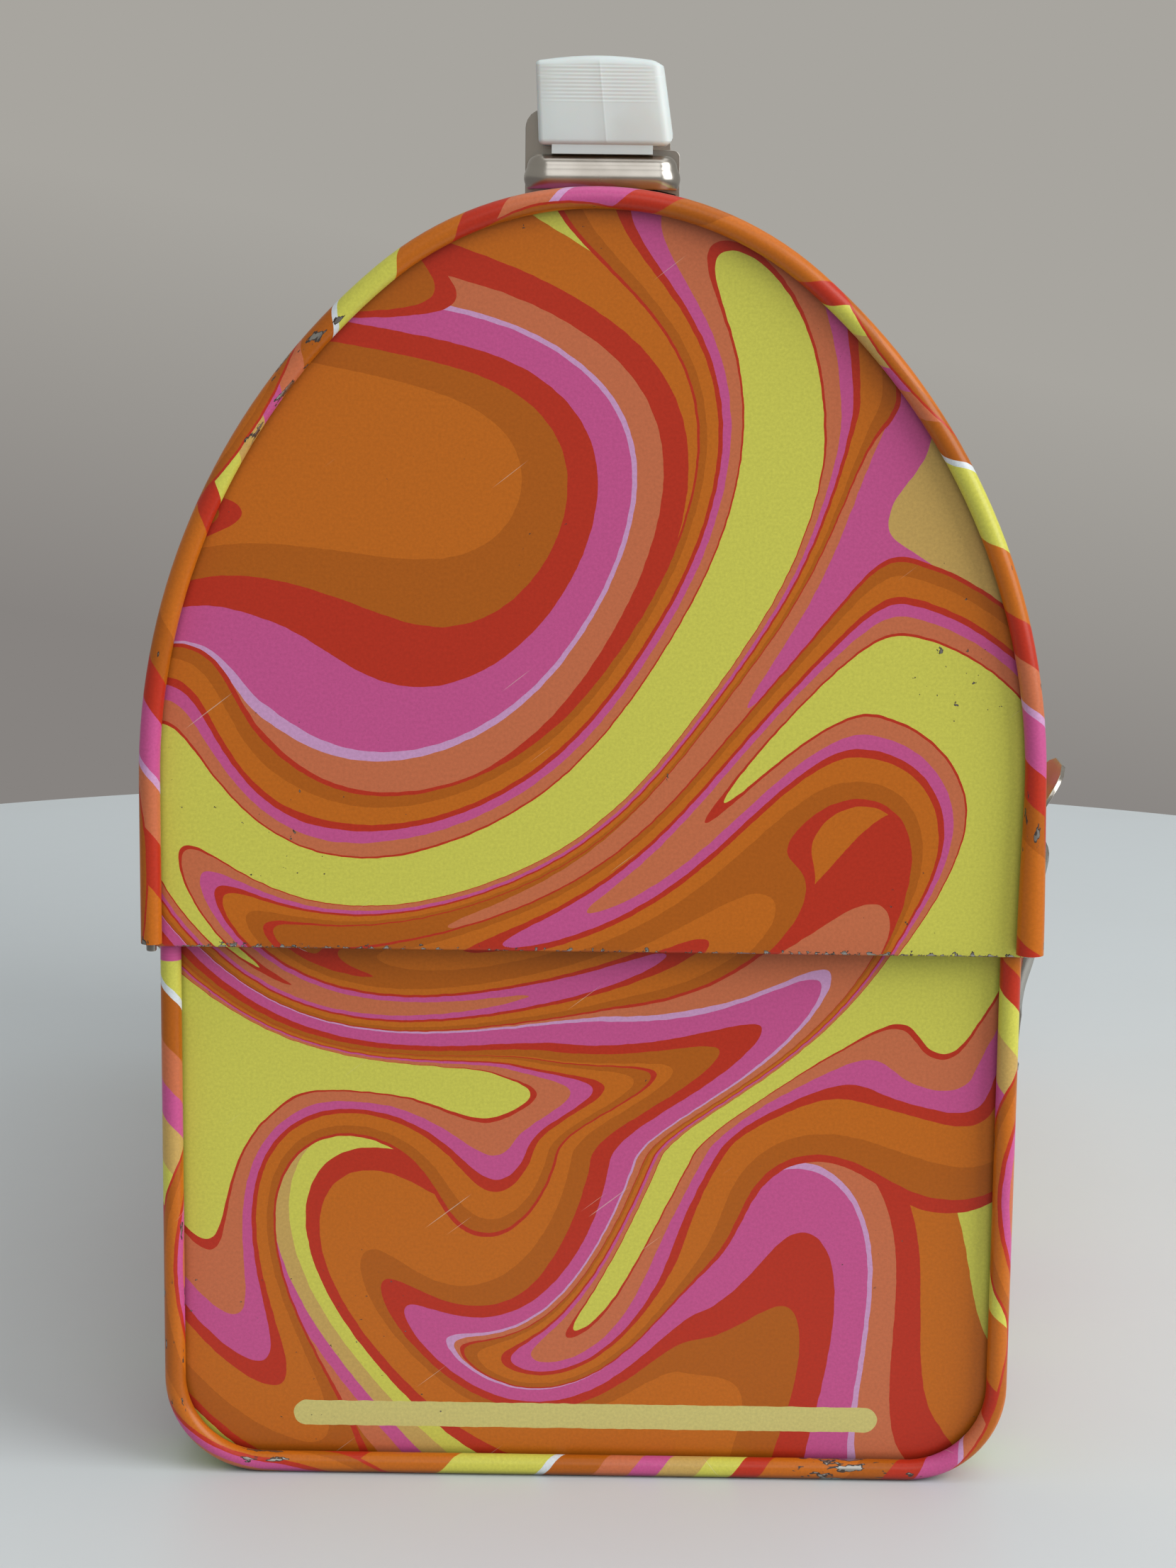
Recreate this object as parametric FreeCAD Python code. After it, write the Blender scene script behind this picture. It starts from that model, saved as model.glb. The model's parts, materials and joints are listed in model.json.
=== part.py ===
"""Dome-top tin lunch box, built as separate sheet, wire, stamped and moulded pieces.

Millimetres. +Z is up and +X runs along the box; the latches face -Y and the hinge faces +Y.
The origin is on the table, under the middle of the base.
"""
import FreeCAD
import Part
import os
from math import acos, asin, atan2, cos, degrees, radians, sin, tan

V = FreeCAD.Vector
ALONG = V(1, 0, 0)
SIDES = {"left": -1, "right": 1}
MATCH = 0.001

# Small round stock is drawn with flats, to keep the model light
ROUND_SIDES = 10
RIVET_SIDES = 8
CURL_STEP = 52.0

# Tinplate and the wired seams
SHEET = 0.4
HEM_HEIGHT = 3.0
BEAD_RADIUS = 1.35
WIRE_RADIUS = 0.65
WIRE_FIT = 0.05
WIRE_SOCKET = 12.0
SEAM_FIT = 0.05

# Lid
LID_LENGTH = 228.0
LID_DEPTH = 114.3
LID_EDGE_Z = 72.0
LID_SPRING_Z = 93.0
DOME_TOP_RADIUS = 42.3
DOME_TOP_Z = 167.3
WIRE_STUB = 1.0

# Body, inside the lid's skirt
BODY_SIDE_GAP = 1.5
BODY_END_GAP = 0.8
BODY_CORNER_RADIUS = 13.0
BODY_RIM_Z = 81.0

# Hinge along the back
HINGE_SHEET = 0.5
HINGE_RADIUS = 1.2
HINGE_INSET = 9.0
HINGE_KNUCKLES = 9
HINGE_DROP = 1.5
HINGE_GAP = 0.3
HINGE_PLATE_HEIGHT = 8.0
HINGE_PIN_HEAD = 0.6
HINGE_RIVETS = 5
HINGE_RIVET_INSET = 13.0

# Fits shared by every pin, rivet and knuckle
PIN_FIT = 0.05
KNUCKLE_GAP = 0.2

# Rivets
RIVET_SHANK = 1.2
RIVET_HEAD = 2.3
RIVET_CROWN = 1.4
RIVET_RISE = 0.8
RIVET_FIT = 0.05

# Latches on the front
LATCH_INSET = 39.0
LATCH_SHEET = 0.7
LATCH_KNUCKLE_RADIUS = 1.5
LATCH_PIN_Z = 50.0
LATCH_BASE_WIDTH = 19.0
LATCH_BASE_BELOW = 8.0
LATCH_BASE_ABOVE = 7.0
LATCH_RIVET_SPREAD = 5.5
LATCH_RIVET_DROP = 4.6
HASP_WIDTH = 16.0
HASP_KNUCKLE_WIDTH = 7.0
HASP_BEND = 1.2
HASP_FLANGE = 1.3
HASP_TIP_RADIUS = 5.0
HASP_BELLY_REACH = 4.4
HASP_BELLY_RISE = 14.0
HASP_WAIST_RISE = 4.2
HASP_TIP_REACH = 7.4
HASP_TIP_RISE = 38.0
CATCH_WIDTH = 25.0
CATCH_FOOT_Z = 73.6
CATCH_HEIGHT = 11.4
CATCH_NOSE_WIDTH = 11.0
CATCH_NOSE_REACH = 3.4
CATCH_NOSE_Z = 78.4
CATCH_RIVET_SPREAD = 10.2

# Handle on the crown
HANDLE_HALF_LENGTH = 58.0
HANDLE_LEG = 8.4
HANDLE_SHOULDER = 6.6
HANDLE_RISE = 18.3
HANDLE_BAR = 5.6
HANDLE_WIDTH_LOW = 18.8
HANDLE_WIDTH_TOP = 17.6
HANDLE_CROWN = 0.8
HANDLE_LEAN = 0.6
HANDLE_OUTER_BEND = 5.0
HANDLE_INNER_BEND = 3.0
NECK_WIDTH = 13.7
NECK_THICK = 4.6
FOOT_WIDTH = 17.4
FOOT_THICK = 2.2
FOOT_FLOAT = 0.3
BRACKET_SHEET = 0.9
BRACKET_WIDTH = 21.8
BRACKET_EAR_WIDTH = 23.0
BRACKET_EAR_RISE = 11.2
BRACKET_EAR_ROUND = 4.0
BRACKET_BASE = 13.0
BRACKET_CORNER = 3.0
BRACKET_FIT = 0.4
BAND_RISE = 0.9
BAND_HEIGHT = 5.0
LIP_FIT = 0.5
BRACKET_RIVET_PITCH = 5.4
DOME_SEAT = 0.05
DOME_RIVET_SEAT = 0.1

# Bottle bail inside the lid
BAIL_WIRE_RADIUS = 1.2
BAIL_Z = 86.0
BAIL_PIVOT_X = -30.0
BAIL_LENGTH = 42.0
BAIL_SIDE_INSET = 10.75
BAIL_BEND = 4.0
BAIL_FIT = 0.1
EYE_SHEET = 0.8
EYE_WIDTH = 20.0
EYE_HEIGHT = 9.0
EYE_BOSS_RADIUS = 2.4
EYE_BOSS_LENGTH = 3.0
EYE_RIVET_SPREAD = 6.5

# Derived sizes of the lid and the body
LID_HALF = LID_DEPTH / 2
LID_INNER = LID_HALF - SHEET
LID_END = LID_LENGTH / 2
PANEL_RECESS = 2 * BEAD_RADIUS + SEAM_FIT
LID_PANEL_X = LID_END - PANEL_RECESS
BODY_HALF = LID_INNER - BODY_SIDE_GAP
BODY_INNER = BODY_HALF - SHEET
BODY_END = LID_PANEL_X - SHEET - BODY_END_GAP
BODY_PANEL_X = BODY_END - PANEL_RECESS
DOME_RISE = DOME_TOP_Z - LID_SPRING_Z
DOME_SIDE_RADIUS = (
    (LID_HALF ** 2 + DOME_RISE ** 2 - 2 * DOME_RISE * DOME_TOP_RADIUS) / (2 * (LID_HALF - DOME_TOP_RADIUS))
)
SIDE_CENTRE = DOME_SIDE_RADIUS - LID_HALF
DOME_CENTRE_Z = DOME_TOP_Z - DOME_TOP_RADIUS
SIDE_ANGLE = degrees(atan2(DOME_CENTRE_Z - LID_SPRING_Z, SIDE_CENTRE))
BAIL_HALF_WIDTH = LID_INNER - BAIL_SIDE_INSET

# Derived places of the hinge and the latches
HINGE_Y = LID_INNER - HINGE_GAP - HINGE_RADIUS
HINGE_Z = LID_EDGE_Z - HINGE_DROP
BODY_BACK_Z = HINGE_Z - HINGE_RADIUS - HINGE_GAP
HINGE_BORE = HINGE_RADIUS - HINGE_SHEET
HINGE_LENGTH = LID_LENGTH - 2 * HINGE_INSET
HINGE_RIVET_PITCH = (HINGE_LENGTH - 2 * HINGE_RIVET_INSET) / (HINGE_RIVETS - 1)
LATCH_X = LID_END - LATCH_INSET
LATCH_PIN_Y = -(BODY_HALF + HINGE_GAP + LATCH_KNUCKLE_RADIUS)
LATCH_BORE = LATCH_KNUCKLE_RADIUS - LATCH_SHEET

# Derived places of the handle
NECK_MIDDLE = HANDLE_HALF_LENGTH - HANDLE_LEG / 2
EAR_X = HANDLE_HALF_LENGTH - HANDLE_LEG - BRACKET_FIT
FOOT_LOW_Z = DOME_TOP_Z + FOOT_FLOAT
BAND_LOW_Z = DOME_TOP_Z + BAND_RISE
BAND_TOP_Z = BAND_LOW_Z + BAND_HEIGHT
BRACKET_EAR_Z = DOME_TOP_Z + BRACKET_EAR_RISE
HANDLE_SHOULDER_Z = DOME_TOP_Z + HANDLE_SHOULDER
HANDLE_TOP_Z = DOME_TOP_Z + HANDLE_RISE


def block(low, high):
    """A box between two corners."""
    size = high - low
    return Part.makeBox(size.x, size.y, size.z, low)


def line(start, end):
    """A straight edge."""
    return Part.LineSegment(start, end).toShape()


def arc(start, middle, end):
    """A round edge through three points."""
    return Part.Arc(start, middle, end).toShape()


def on_circle(centre, radius, angle):
    """The point at an angle on a circle across the box, from +Y towards +Z."""
    return centre + V(0, cos(radians(angle)), sin(radians(angle))) * radius


def ring(centre, normal, radius, sides=ROUND_SIDES):
    """A closed round outline with flats, square to an axis of the frame."""
    side = V(0, 1, 0) if abs(normal.y) < MATCH else ALONG
    other = normal.cross(side).normalize()
    turns = [radians((index + 0.5) * 360 / sides) for index in range(sides)]
    corners = [centre + side * (radius * cos(turn)) + other * (radius * sin(turn)) for turn in turns]
    return Part.makePolygon(corners + corners[:1])


def rod(start, end, radius, sides=ROUND_SIDES):
    """A round bar between two points."""
    run = end - start
    return Part.Face(ring(start, run, radius, sides)).extrude(run)


def pierced(outline, holes):
    """A flat face with round holes."""
    return Part.makeFace([outline] + holes, "Part::FaceMakerBullseye")


def fused(shapes):
    """One clean solid from touching or crossing shapes."""
    first, *others = shapes
    return first.multiFuse(others).removeSplitter()


def rounded_edges(points, radii):
    """Edges of a polyline whose inner corners are rounded by arcs."""
    edges = []
    start = points[0]
    for before, corner, after, radius in zip(points, points[1:], points[2:], radii):
        back = (before - corner).normalize()
        ahead = (after - corner).normalize()
        half = back.getAngle(ahead) / 2
        reach = radius / tan(half)
        enter = corner + back * reach
        leave = corner + ahead * reach
        middle = corner + (back + ahead).normalize() * (radius / sin(half) - radius)
        edges += [line(start, enter), arc(enter, middle, leave)]
        start = leave
    return edges + [line(start, points[-1])]


def bent_strip(points, bend, sheet):
    """Side view of a sheet bent at each inner point; the sheet lies to the +Y side of a rising line."""
    runs = [(after - before).normalize() for before, after in zip(points, points[1:])]
    inward = [V(0, run.z, -run.y) for run in runs]
    shifted = [points[0] + inward[0] * sheet]
    face_bends = []
    back_bends = []
    for corner, run, after, side, other in zip(points[1:], runs, runs[1:], inward, inward[1:]):
        half_turn = run.getAngle(after) / 2
        shifted.append(corner + (side + other).normalize() * (sheet / cos(half_turn)))
        turns_in = run.cross(after).x < 0
        face_bends.append(bend + sheet if turns_in else bend)
        back_bends.append(bend if turns_in else bend + sheet)
    shifted.append(points[-1] + inward[-1] * sheet)
    face_edges = rounded_edges(points, face_bends)
    back_edges = rounded_edges(shifted, back_bends)
    caps = [line(points[0], shifted[0]), line(points[-1], shifted[-1])]
    return Part.Face(Part.Wire(Part.__sortEdges__(face_edges + back_edges + caps)))


def across(face, middle, width):
    """A side view thickened along the box, about a middle."""
    return face.translated(ALONG * (middle - width / 2)).extrude(ALONG * width)


def knuckle_face(axis_y, axis_z, radius, sheet, side, rise):
    """Side view of a strap that runs along Z and rolls round a pin.

    side is the Y side of the pin where the strap lies; rise is the signed height of its far end.
    """
    face_y = axis_y + side * radius
    back_y = face_y - side * sheet
    centre = V(0, axis_y, axis_z)
    start = 0 if side > 0 else 180
    turn = -side if rise > 0 else side
    last = 360 - degrees(acos((radius - sheet) / radius))
    count = ROUND_SIDES - 1
    curl = [on_circle(centre, radius, start + turn * last * index / count) for index in range(count + 1)]
    corners = [V(0, face_y, axis_z + rise)] + curl + [V(0, back_y, axis_z + rise)]
    outline = Part.makePolygon(corners + corners[:1])
    return pierced(outline, [ring(centre, ALONG, radius - sheet)])


def rivet(place, outward, grip):
    """A rivet with a crowned head outside and a flatter one inside a grip of that thickness."""
    def head(base, direction, rise):
        rim = ring(base, outward, RIVET_HEAD, RIVET_SIDES)
        crown = ring(base + direction * rise, outward, RIVET_CROWN, RIVET_SIDES)
        flats = [
            Part.Face(Part.makePolygon([low.Vertexes[0].Point, low.Vertexes[1].Point,
                                        high.Vertexes[1].Point, high.Vertexes[0].Point,
                                        low.Vertexes[0].Point]))
            for low, high in zip(rim.Edges, crown.Edges)
        ]
        return Part.Solid(Part.Shell([Part.Face(rim), Part.Face(crown)] + flats))

    inside = place - outward * grip
    shank = rod(inside, place, RIVET_SHANK, RIVET_SIDES)
    return fused([shank, head(place, outward, RIVET_RISE), head(inside, -outward, RIVET_RISE / 2)])


def rivet_hole(place, outward, grip):
    """The clearance hole for a rivet, through everything it grips."""
    reach = outward * (grip + 1)
    return rod(place - reach, place + reach, RIVET_SHANK + RIVET_FIT, RIVET_SIDES)


def wrap_section(half_length, face_y, z):
    """Level cut through a wrap: a thin sheet with a curl, closed tight on its wire, at each end."""
    middle = half_length - BEAD_RADIUS
    last = 270 + degrees(asin((BEAD_RADIUS - SHEET) / BEAD_RADIUS))
    count = round(last / CURL_STEP)
    turns = [radians(-90 + last * index / count) for index in range(count + 1)]
    curl = [V(middle + BEAD_RADIUS * cos(turn), face_y + BEAD_RADIUS * (1 + sin(turn)), z) for turn in turns]
    other = [V(-point.x, point.y, point.z) for point in reversed(curl)]
    return Part.Face(Part.makePolygon(curl + other + curl[:1]))


def wire_ends(end, half_length, half_depth, front, back, radius):
    """The wire at both ends of one seam, each between two heights; between them the curl hides it."""
    x = end * (half_length - BEAD_RADIUS)
    y = half_depth - BEAD_RADIUS
    return [rod(V(x, side * y, low), V(x, side * y, high), radius) for side, (low, high) in ((-1, front), (1, back))]


def lid_wire_ends(end, fit):
    """The wire ends in one of the lid's seams, with room round them; the back one stands out."""
    high = LID_EDGE_Z + WIRE_SOCKET + fit
    front = (LID_EDGE_Z - fit, high)
    back = (LID_EDGE_Z - WIRE_STUB - fit, high)
    return wire_ends(end, LID_END, LID_HALF, front, back, WIRE_RADIUS + fit)


def body_wire_ends(end, fit):
    """The wire ends in one of the body's seams, with room round them."""
    front = (BODY_RIM_Z - WIRE_SOCKET - fit, BODY_RIM_Z + fit)
    back = (BODY_BACK_Z - WIRE_SOCKET - fit, BODY_BACK_Z + fit)
    return wire_ends(end, BODY_END, BODY_HALF, front, back, WIRE_RADIUS + fit)


def carried(face, moves):
    """The solid that a section leaves behind as it runs straight and turns about X."""
    stretches = []
    for centre, amount in moves:
        if centre is None:
            stretches.append(face.extrude(amount))
            face = face.translated(amount)
        else:
            stretches.append(face.revolve(centre, ALONG, amount))
            face = face.rotated(centre, ALONG, amount)
    return fused(stretches)


def lid_path():
    """Moves from the front skirt over the dome to the back skirt."""
    return [
        (None, V(0, 0, LID_SPRING_Z - LID_EDGE_Z)),
        (V(0, SIDE_CENTRE, LID_SPRING_Z), -SIDE_ANGLE),
        (V(0, 0, DOME_CENTRE_Z), -2 * (90 - SIDE_ANGLE)),
        (V(0, -SIDE_CENTRE, LID_SPRING_Z), -SIDE_ANGLE),
        (None, V(0, 0, LID_EDGE_Z - LID_SPRING_Z)),
    ]


def body_path():
    """Moves from the front rim under the base to the back wall's top, under the hinge."""
    corner = BODY_HALF - BODY_CORNER_RADIUS
    return [
        (None, V(0, 0, BODY_CORNER_RADIUS - BODY_RIM_Z)),
        (V(0, -corner, BODY_CORNER_RADIUS), 90),
        (None, V(0, 2 * corner, 0)),
        (V(0, corner, BODY_CORNER_RADIUS), 90),
        (None, V(0, 0, BODY_BACK_Z - BODY_CORNER_RADIUS)),
    ]


def lid_outline(inset):
    """End view of the lid, set in from its outer face."""
    half = LID_HALF - inset
    top = DOME_TOP_Z - inset
    side_radius = DOME_SIDE_RADIUS - inset
    join_y = side_radius * cos(radians(SIDE_ANGLE)) - SIDE_CENTRE
    join_z = LID_SPRING_Z + side_radius * sin(radians(SIDE_ANGLE))
    mid_y = side_radius * cos(radians(SIDE_ANGLE / 2)) - SIDE_CENTRE
    mid_z = LID_SPRING_Z + side_radius * sin(radians(SIDE_ANGLE / 2))
    return Part.Wire([
        line(V(0, half, LID_EDGE_Z), V(0, -half, LID_EDGE_Z)),
        line(V(0, -half, LID_EDGE_Z), V(0, -half, LID_SPRING_Z)),
        arc(V(0, -half, LID_SPRING_Z), V(0, -mid_y, mid_z), V(0, -join_y, join_z)),
        arc(V(0, -join_y, join_z), V(0, 0, top), V(0, join_y, join_z)),
        arc(V(0, join_y, join_z), V(0, mid_y, mid_z), V(0, half, LID_SPRING_Z)),
        line(V(0, half, LID_SPRING_Z), V(0, half, LID_EDGE_Z)),
    ])


def body_outline(inset):
    """End view of the body, set in from its outer face."""
    half = BODY_HALF - inset
    corners = [V(0, -half, BODY_RIM_Z), V(0, -half, inset), V(0, half, inset), V(0, half, BODY_RIM_Z)]
    edges = rounded_edges(corners, [BODY_CORNER_RADIUS - inset] * 2)
    return Part.Wire(edges + [line(corners[-1], corners[0])])


def end_panel(outline, end, face_x, hem):
    """A flat end panel behind its seam, with the free edge folded back inside."""
    sheet = Part.Face(outline).extrude(ALONG * SHEET).translated(ALONG * (face_x - SHEET))
    panel = fused([sheet, hem])
    return panel if end > 0 else panel.mirror(V(0, 0, 0), ALONG)


def lid_end(end):
    """One end of the lid."""
    half = LID_HALF - 2 * BEAD_RADIUS
    inner_x = LID_PANEL_X - SHEET
    hem = block(V(inner_x - SHEET, -half, LID_EDGE_Z), V(inner_x, half, LID_EDGE_Z + HEM_HEIGHT))
    return end_panel(lid_outline(SHEET + SEAM_FIT), end, LID_PANEL_X, hem)


def body_end(end):
    """One end of the body."""
    half = BODY_HALF - 2 * BEAD_RADIUS
    inner_x = BODY_PANEL_X - SHEET
    hem = block(V(inner_x - SHEET, -half, BODY_RIM_Z - HEM_HEIGHT), V(inner_x, half, BODY_RIM_Z))
    return end_panel(body_outline(SHEET + SEAM_FIT), end, BODY_PANEL_X, hem)


def lid_shell():
    """The lid's wrap: front skirt, dome and back skirt in one sheet."""
    wrap = carried(wrap_section(LID_END, -LID_HALF, LID_EDGE_Z), lid_path())
    hem_half = LID_PANEL_X - 3 * SHEET
    hem = block(V(-hem_half, -LID_INNER, LID_EDGE_Z), V(hem_half, SHEET - LID_INNER, LID_EDGE_Z + HEM_HEIGHT))
    holes = [rivet_hole(*spot) for spots in lid_rivets().values() for spot in spots]
    sockets = [socket for end in SIDES.values() for socket in lid_wire_ends(end, WIRE_FIT)]
    return fused([wrap, hem]).cut(holes + sockets)


def body_shell():
    """The body's wrap: front, base and back in one sheet, with the front rim folded inside."""
    wrap = carried(wrap_section(BODY_END, -BODY_HALF, BODY_RIM_Z), body_path())
    hem_half = BODY_PANEL_X - 3 * SHEET
    low_z = BODY_RIM_Z - HEM_HEIGHT
    hem = block(V(-hem_half, -BODY_INNER, low_z), V(hem_half, SHEET - BODY_INNER, BODY_RIM_Z))
    holes = [rivet_hole(*spot) for spots in body_rivets().values() for spot in spots]
    sockets = [socket for end in SIDES.values() for socket in body_wire_ends(end, WIRE_FIT)]
    return fused([wrap, hem]).cut(holes + sockets)


def hinge_knuckles(first):
    """Middles of every second knuckle along the hinge."""
    pitch = HINGE_LENGTH / HINGE_KNUCKLES
    return [(index + 0.5) * pitch - HINGE_LENGTH / 2 for index in range(first, HINGE_KNUCKLES, 2)]


def hinge_leaf(first, side, wall_y):
    """A hinge leaf: a plate inside its wall, with rolled knuckles that reach to the pin."""
    rise = side * (HINGE_RADIUS + HINGE_GAP)
    far = side * (HINGE_RADIUS + HINGE_GAP + HINGE_PLATE_HEIGHT)
    low_z, high_z = sorted([HINGE_Z + rise, HINGE_Z + far])
    half = HINGE_LENGTH / 2
    plate = block(V(-half, wall_y - HINGE_SHEET, low_z), V(half, wall_y, high_z))
    strap = rise + side * HINGE_PLATE_HEIGHT / 4
    face = knuckle_face(HINGE_Y, HINGE_Z, HINGE_RADIUS, HINGE_SHEET, side, strap)
    width = HINGE_LENGTH / HINGE_KNUCKLES - KNUCKLE_GAP
    rolls = [across(face, middle, width) for middle in hinge_knuckles(first)]
    rivets = body_rivets()["hinge_body_rivets"] if side < 0 else lid_rivets()["hinge_lid_rivets"]
    return fused([plate] + rolls).cut([rivet_hole(*spot) for spot in rivets])


def hinge_pin():
    """The hinge pin, peened over at both ends."""
    half = HINGE_LENGTH / 2
    start, end = V(-half, HINGE_Y, HINGE_Z), V(half, HINGE_Y, HINGE_Z)
    head = ALONG * HINGE_PIN_HEAD
    return fused([
        rod(start, end, HINGE_BORE - PIN_FIT),
        rod(start - head, start, HINGE_BORE + PIN_FIT),
        rod(end, end + head, HINGE_BORE + PIN_FIT),
    ])


def hinge_rivet_places():
    """Places of the hinge rivets along the box."""
    return [(index - (HINGE_RIVETS - 1) / 2) * HINGE_RIVET_PITCH for index in range(HINGE_RIVETS)]


def body_rivets():
    """Place, outward direction and grip of each rivet in the body's wrap."""
    hinge_z = HINGE_Z - HINGE_RADIUS - HINGE_GAP - 0.7 * HINGE_PLATE_HEIGHT
    latch_z = LATCH_PIN_Z - LATCH_RIVET_DROP
    front_y = -(BODY_HALF + LATCH_SHEET)
    return {
        "hinge_body_rivets": [
            (V(x, BODY_HALF, hinge_z), V(0, 1, 0), SHEET + HINGE_SHEET)
            for x in hinge_rivet_places()
        ],
        "latch_base_rivets": [
            (V(side * LATCH_X + step, front_y, latch_z), V(0, -1, 0), SHEET + LATCH_SHEET)
            for side in SIDES.values()
            for step in (-LATCH_RIVET_SPREAD, LATCH_RIVET_SPREAD)
        ],
    }


def lid_rivets():
    """Place, outward direction and grip of each rivet in the lid's wrap."""
    hinge_z = HINGE_Z + HINGE_RADIUS + HINGE_GAP + HINGE_PLATE_HEIGHT / 2
    catch_z = CATCH_FOOT_Z + CATCH_HEIGHT / 2
    front_y = -(LID_HALF + LATCH_SHEET)
    crown_z = DOME_TOP_Z + DOME_SEAT + BRACKET_SHEET
    crown_grip = SHEET + DOME_SEAT + BRACKET_SHEET + DOME_RIVET_SEAT
    base_x = EAR_X - BRACKET_SHEET - BRACKET_BASE / 2
    return {
        "hinge_lid_rivets": [
            (V(x, LID_HALF, hinge_z), V(0, 1, 0), SHEET + HINGE_SHEET)
            for x in hinge_rivet_places()
        ],
        "latch_catch_rivets": [
            (V(side * LATCH_X + step, front_y, catch_z), V(0, -1, 0), SHEET + LATCH_SHEET)
            for side in SIDES.values()
            for step in (-CATCH_RIVET_SPREAD, CATCH_RIVET_SPREAD)
        ],
        "handle_bracket_rivets": [
            (V(side * (base_x + step), 0, crown_z), V(0, 0, 1), crown_grip)
            for side in SIDES.values()
            for step in (-BRACKET_RIVET_PITCH / 2, BRACKET_RIVET_PITCH / 2)
        ],
        "bail_eye_rivets": [
            (V(BAIL_PIVOT_X + step, face * LID_HALF, BAIL_Z), V(0, face, 0), SHEET + EYE_SHEET)
            for face in (-1, 1)
            for step in (-EYE_RIVET_SPREAD, EYE_RIVET_SPREAD)
        ],
    }


def rivets(spots):
    """A group of separate rivets."""
    return Part.Compound([rivet(*spot) for spot in spots])


def latch_base(middle):
    """The latch's base: a plate on the front wall with two rolled barrels for the pin."""
    low = V(middle - LATCH_BASE_WIDTH / 2, -(BODY_HALF + LATCH_SHEET), LATCH_PIN_Z - LATCH_BASE_BELOW)
    high = V(middle + LATCH_BASE_WIDTH / 2, -BODY_HALF, LATCH_PIN_Z + LATCH_BASE_ABOVE)
    window_half = HASP_KNUCKLE_WIDTH / 2 + KNUCKLE_GAP
    window_tall = LATCH_KNUCKLE_RADIUS + HINGE_GAP
    window = block(
        V(middle - window_half, low.y - 1, LATCH_PIN_Z - window_tall),
        V(middle + window_half, high.y + 1, LATCH_PIN_Z + window_tall),
    )
    strap = -(LATCH_RIVET_DROP - RIVET_HEAD - KNUCKLE_GAP)
    face = knuckle_face(LATCH_PIN_Y, LATCH_PIN_Z, LATCH_KNUCKLE_RADIUS, LATCH_SHEET, 1, strap)
    barrel = (LATCH_BASE_WIDTH - HASP_KNUCKLE_WIDTH) / 2 - KNUCKLE_GAP
    offset = (LATCH_BASE_WIDTH - barrel) / 2
    barrels = [across(face, middle + step, barrel) for step in (-offset, offset)]
    plate = block(low, high).cut(window)
    holes = [rivet_hole(*spot) for spot in body_rivets()["latch_base_rivets"]]
    return fused([plate] + barrels).cut(holes)


def latch_pin(middle):
    """The pin that the hasp turns on."""
    half = LATCH_BASE_WIDTH / 2
    return rod(
        V(middle - half, LATCH_PIN_Y, LATCH_PIN_Z),
        V(middle + half, LATCH_PIN_Y, LATCH_PIN_Z),
        LATCH_BORE - PIN_FIT,
    )


def hasp_line():
    """Outer line of the hasp, from its knuckle over the catch to the thumb tab."""
    start = V(0, LATCH_PIN_Y - LATCH_KNUCKLE_RADIUS, LATCH_PIN_Z + LATCH_KNUCKLE_RADIUS + HINGE_GAP)
    knee = start + V(0, 0, 2 * HASP_BEND)
    belly = V(0, -(LID_HALF + HASP_BELLY_REACH), LATCH_PIN_Z + HASP_BELLY_RISE)
    nose_y = -(LID_HALF + LATCH_SHEET + CATCH_NOSE_REACH)
    bulge = V(0, nose_y - LATCH_SHEET - 2 * HINGE_GAP, CATCH_NOSE_Z)
    waist_y = -(LID_HALF + 2 * LATCH_SHEET + 2 * HINGE_GAP)
    waist = V(0, waist_y, CATCH_NOSE_Z + HASP_WAIST_RISE)
    tip = V(0, -(LID_HALF + HASP_TIP_REACH), LATCH_PIN_Z + HASP_TIP_RISE)
    return [start, knee, belly, bulge, waist, tip]


def latch_hasp(middle):
    """The hasp: a dished stamping that rolls round the pin and flares into a thumb tab."""
    points = hasp_line()
    strip = across(bent_strip(points, HASP_BEND, LATCH_SHEET), middle, HASP_WIDTH)
    strap = LATCH_KNUCKLE_RADIUS + HINGE_GAP
    face = knuckle_face(LATCH_PIN_Y, LATCH_PIN_Z, LATCH_KNUCKLE_RADIUS, LATCH_SHEET, -1, strap)
    knuckle = across(face, middle, HASP_KNUCKLE_WIDTH)
    belly, bulge, waist = points[2:5]
    lean = (bulge - belly).normalize()
    inward = V(0, lean.z, -lean.y) * (LATCH_SHEET + HASP_FLANGE)
    start = belly + lean * HASP_FLANGE
    stop = bulge - lean * (2 * HASP_FLANGE)
    corners = [start, start + inward, stop + inward, stop, start]
    flange = Part.Face(Part.makePolygon(corners))
    offset = (HASP_WIDTH - LATCH_SHEET) / 2
    flanges = [across(flange, middle + step, LATCH_SHEET) for step in (-offset, offset)]
    hasp = fused([strip, knuckle] + flanges)
    corner_edges = [
        edge for edge in hasp.Edges
        if len(edge.Vertexes) == 2 and abs(edge.Length - LATCH_SHEET) < MATCH
        and edge.CenterOfMass.z > waist.z + LATCH_SHEET
    ]
    return hasp.makeFillet(HASP_TIP_RADIUS, corner_edges)


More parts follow.
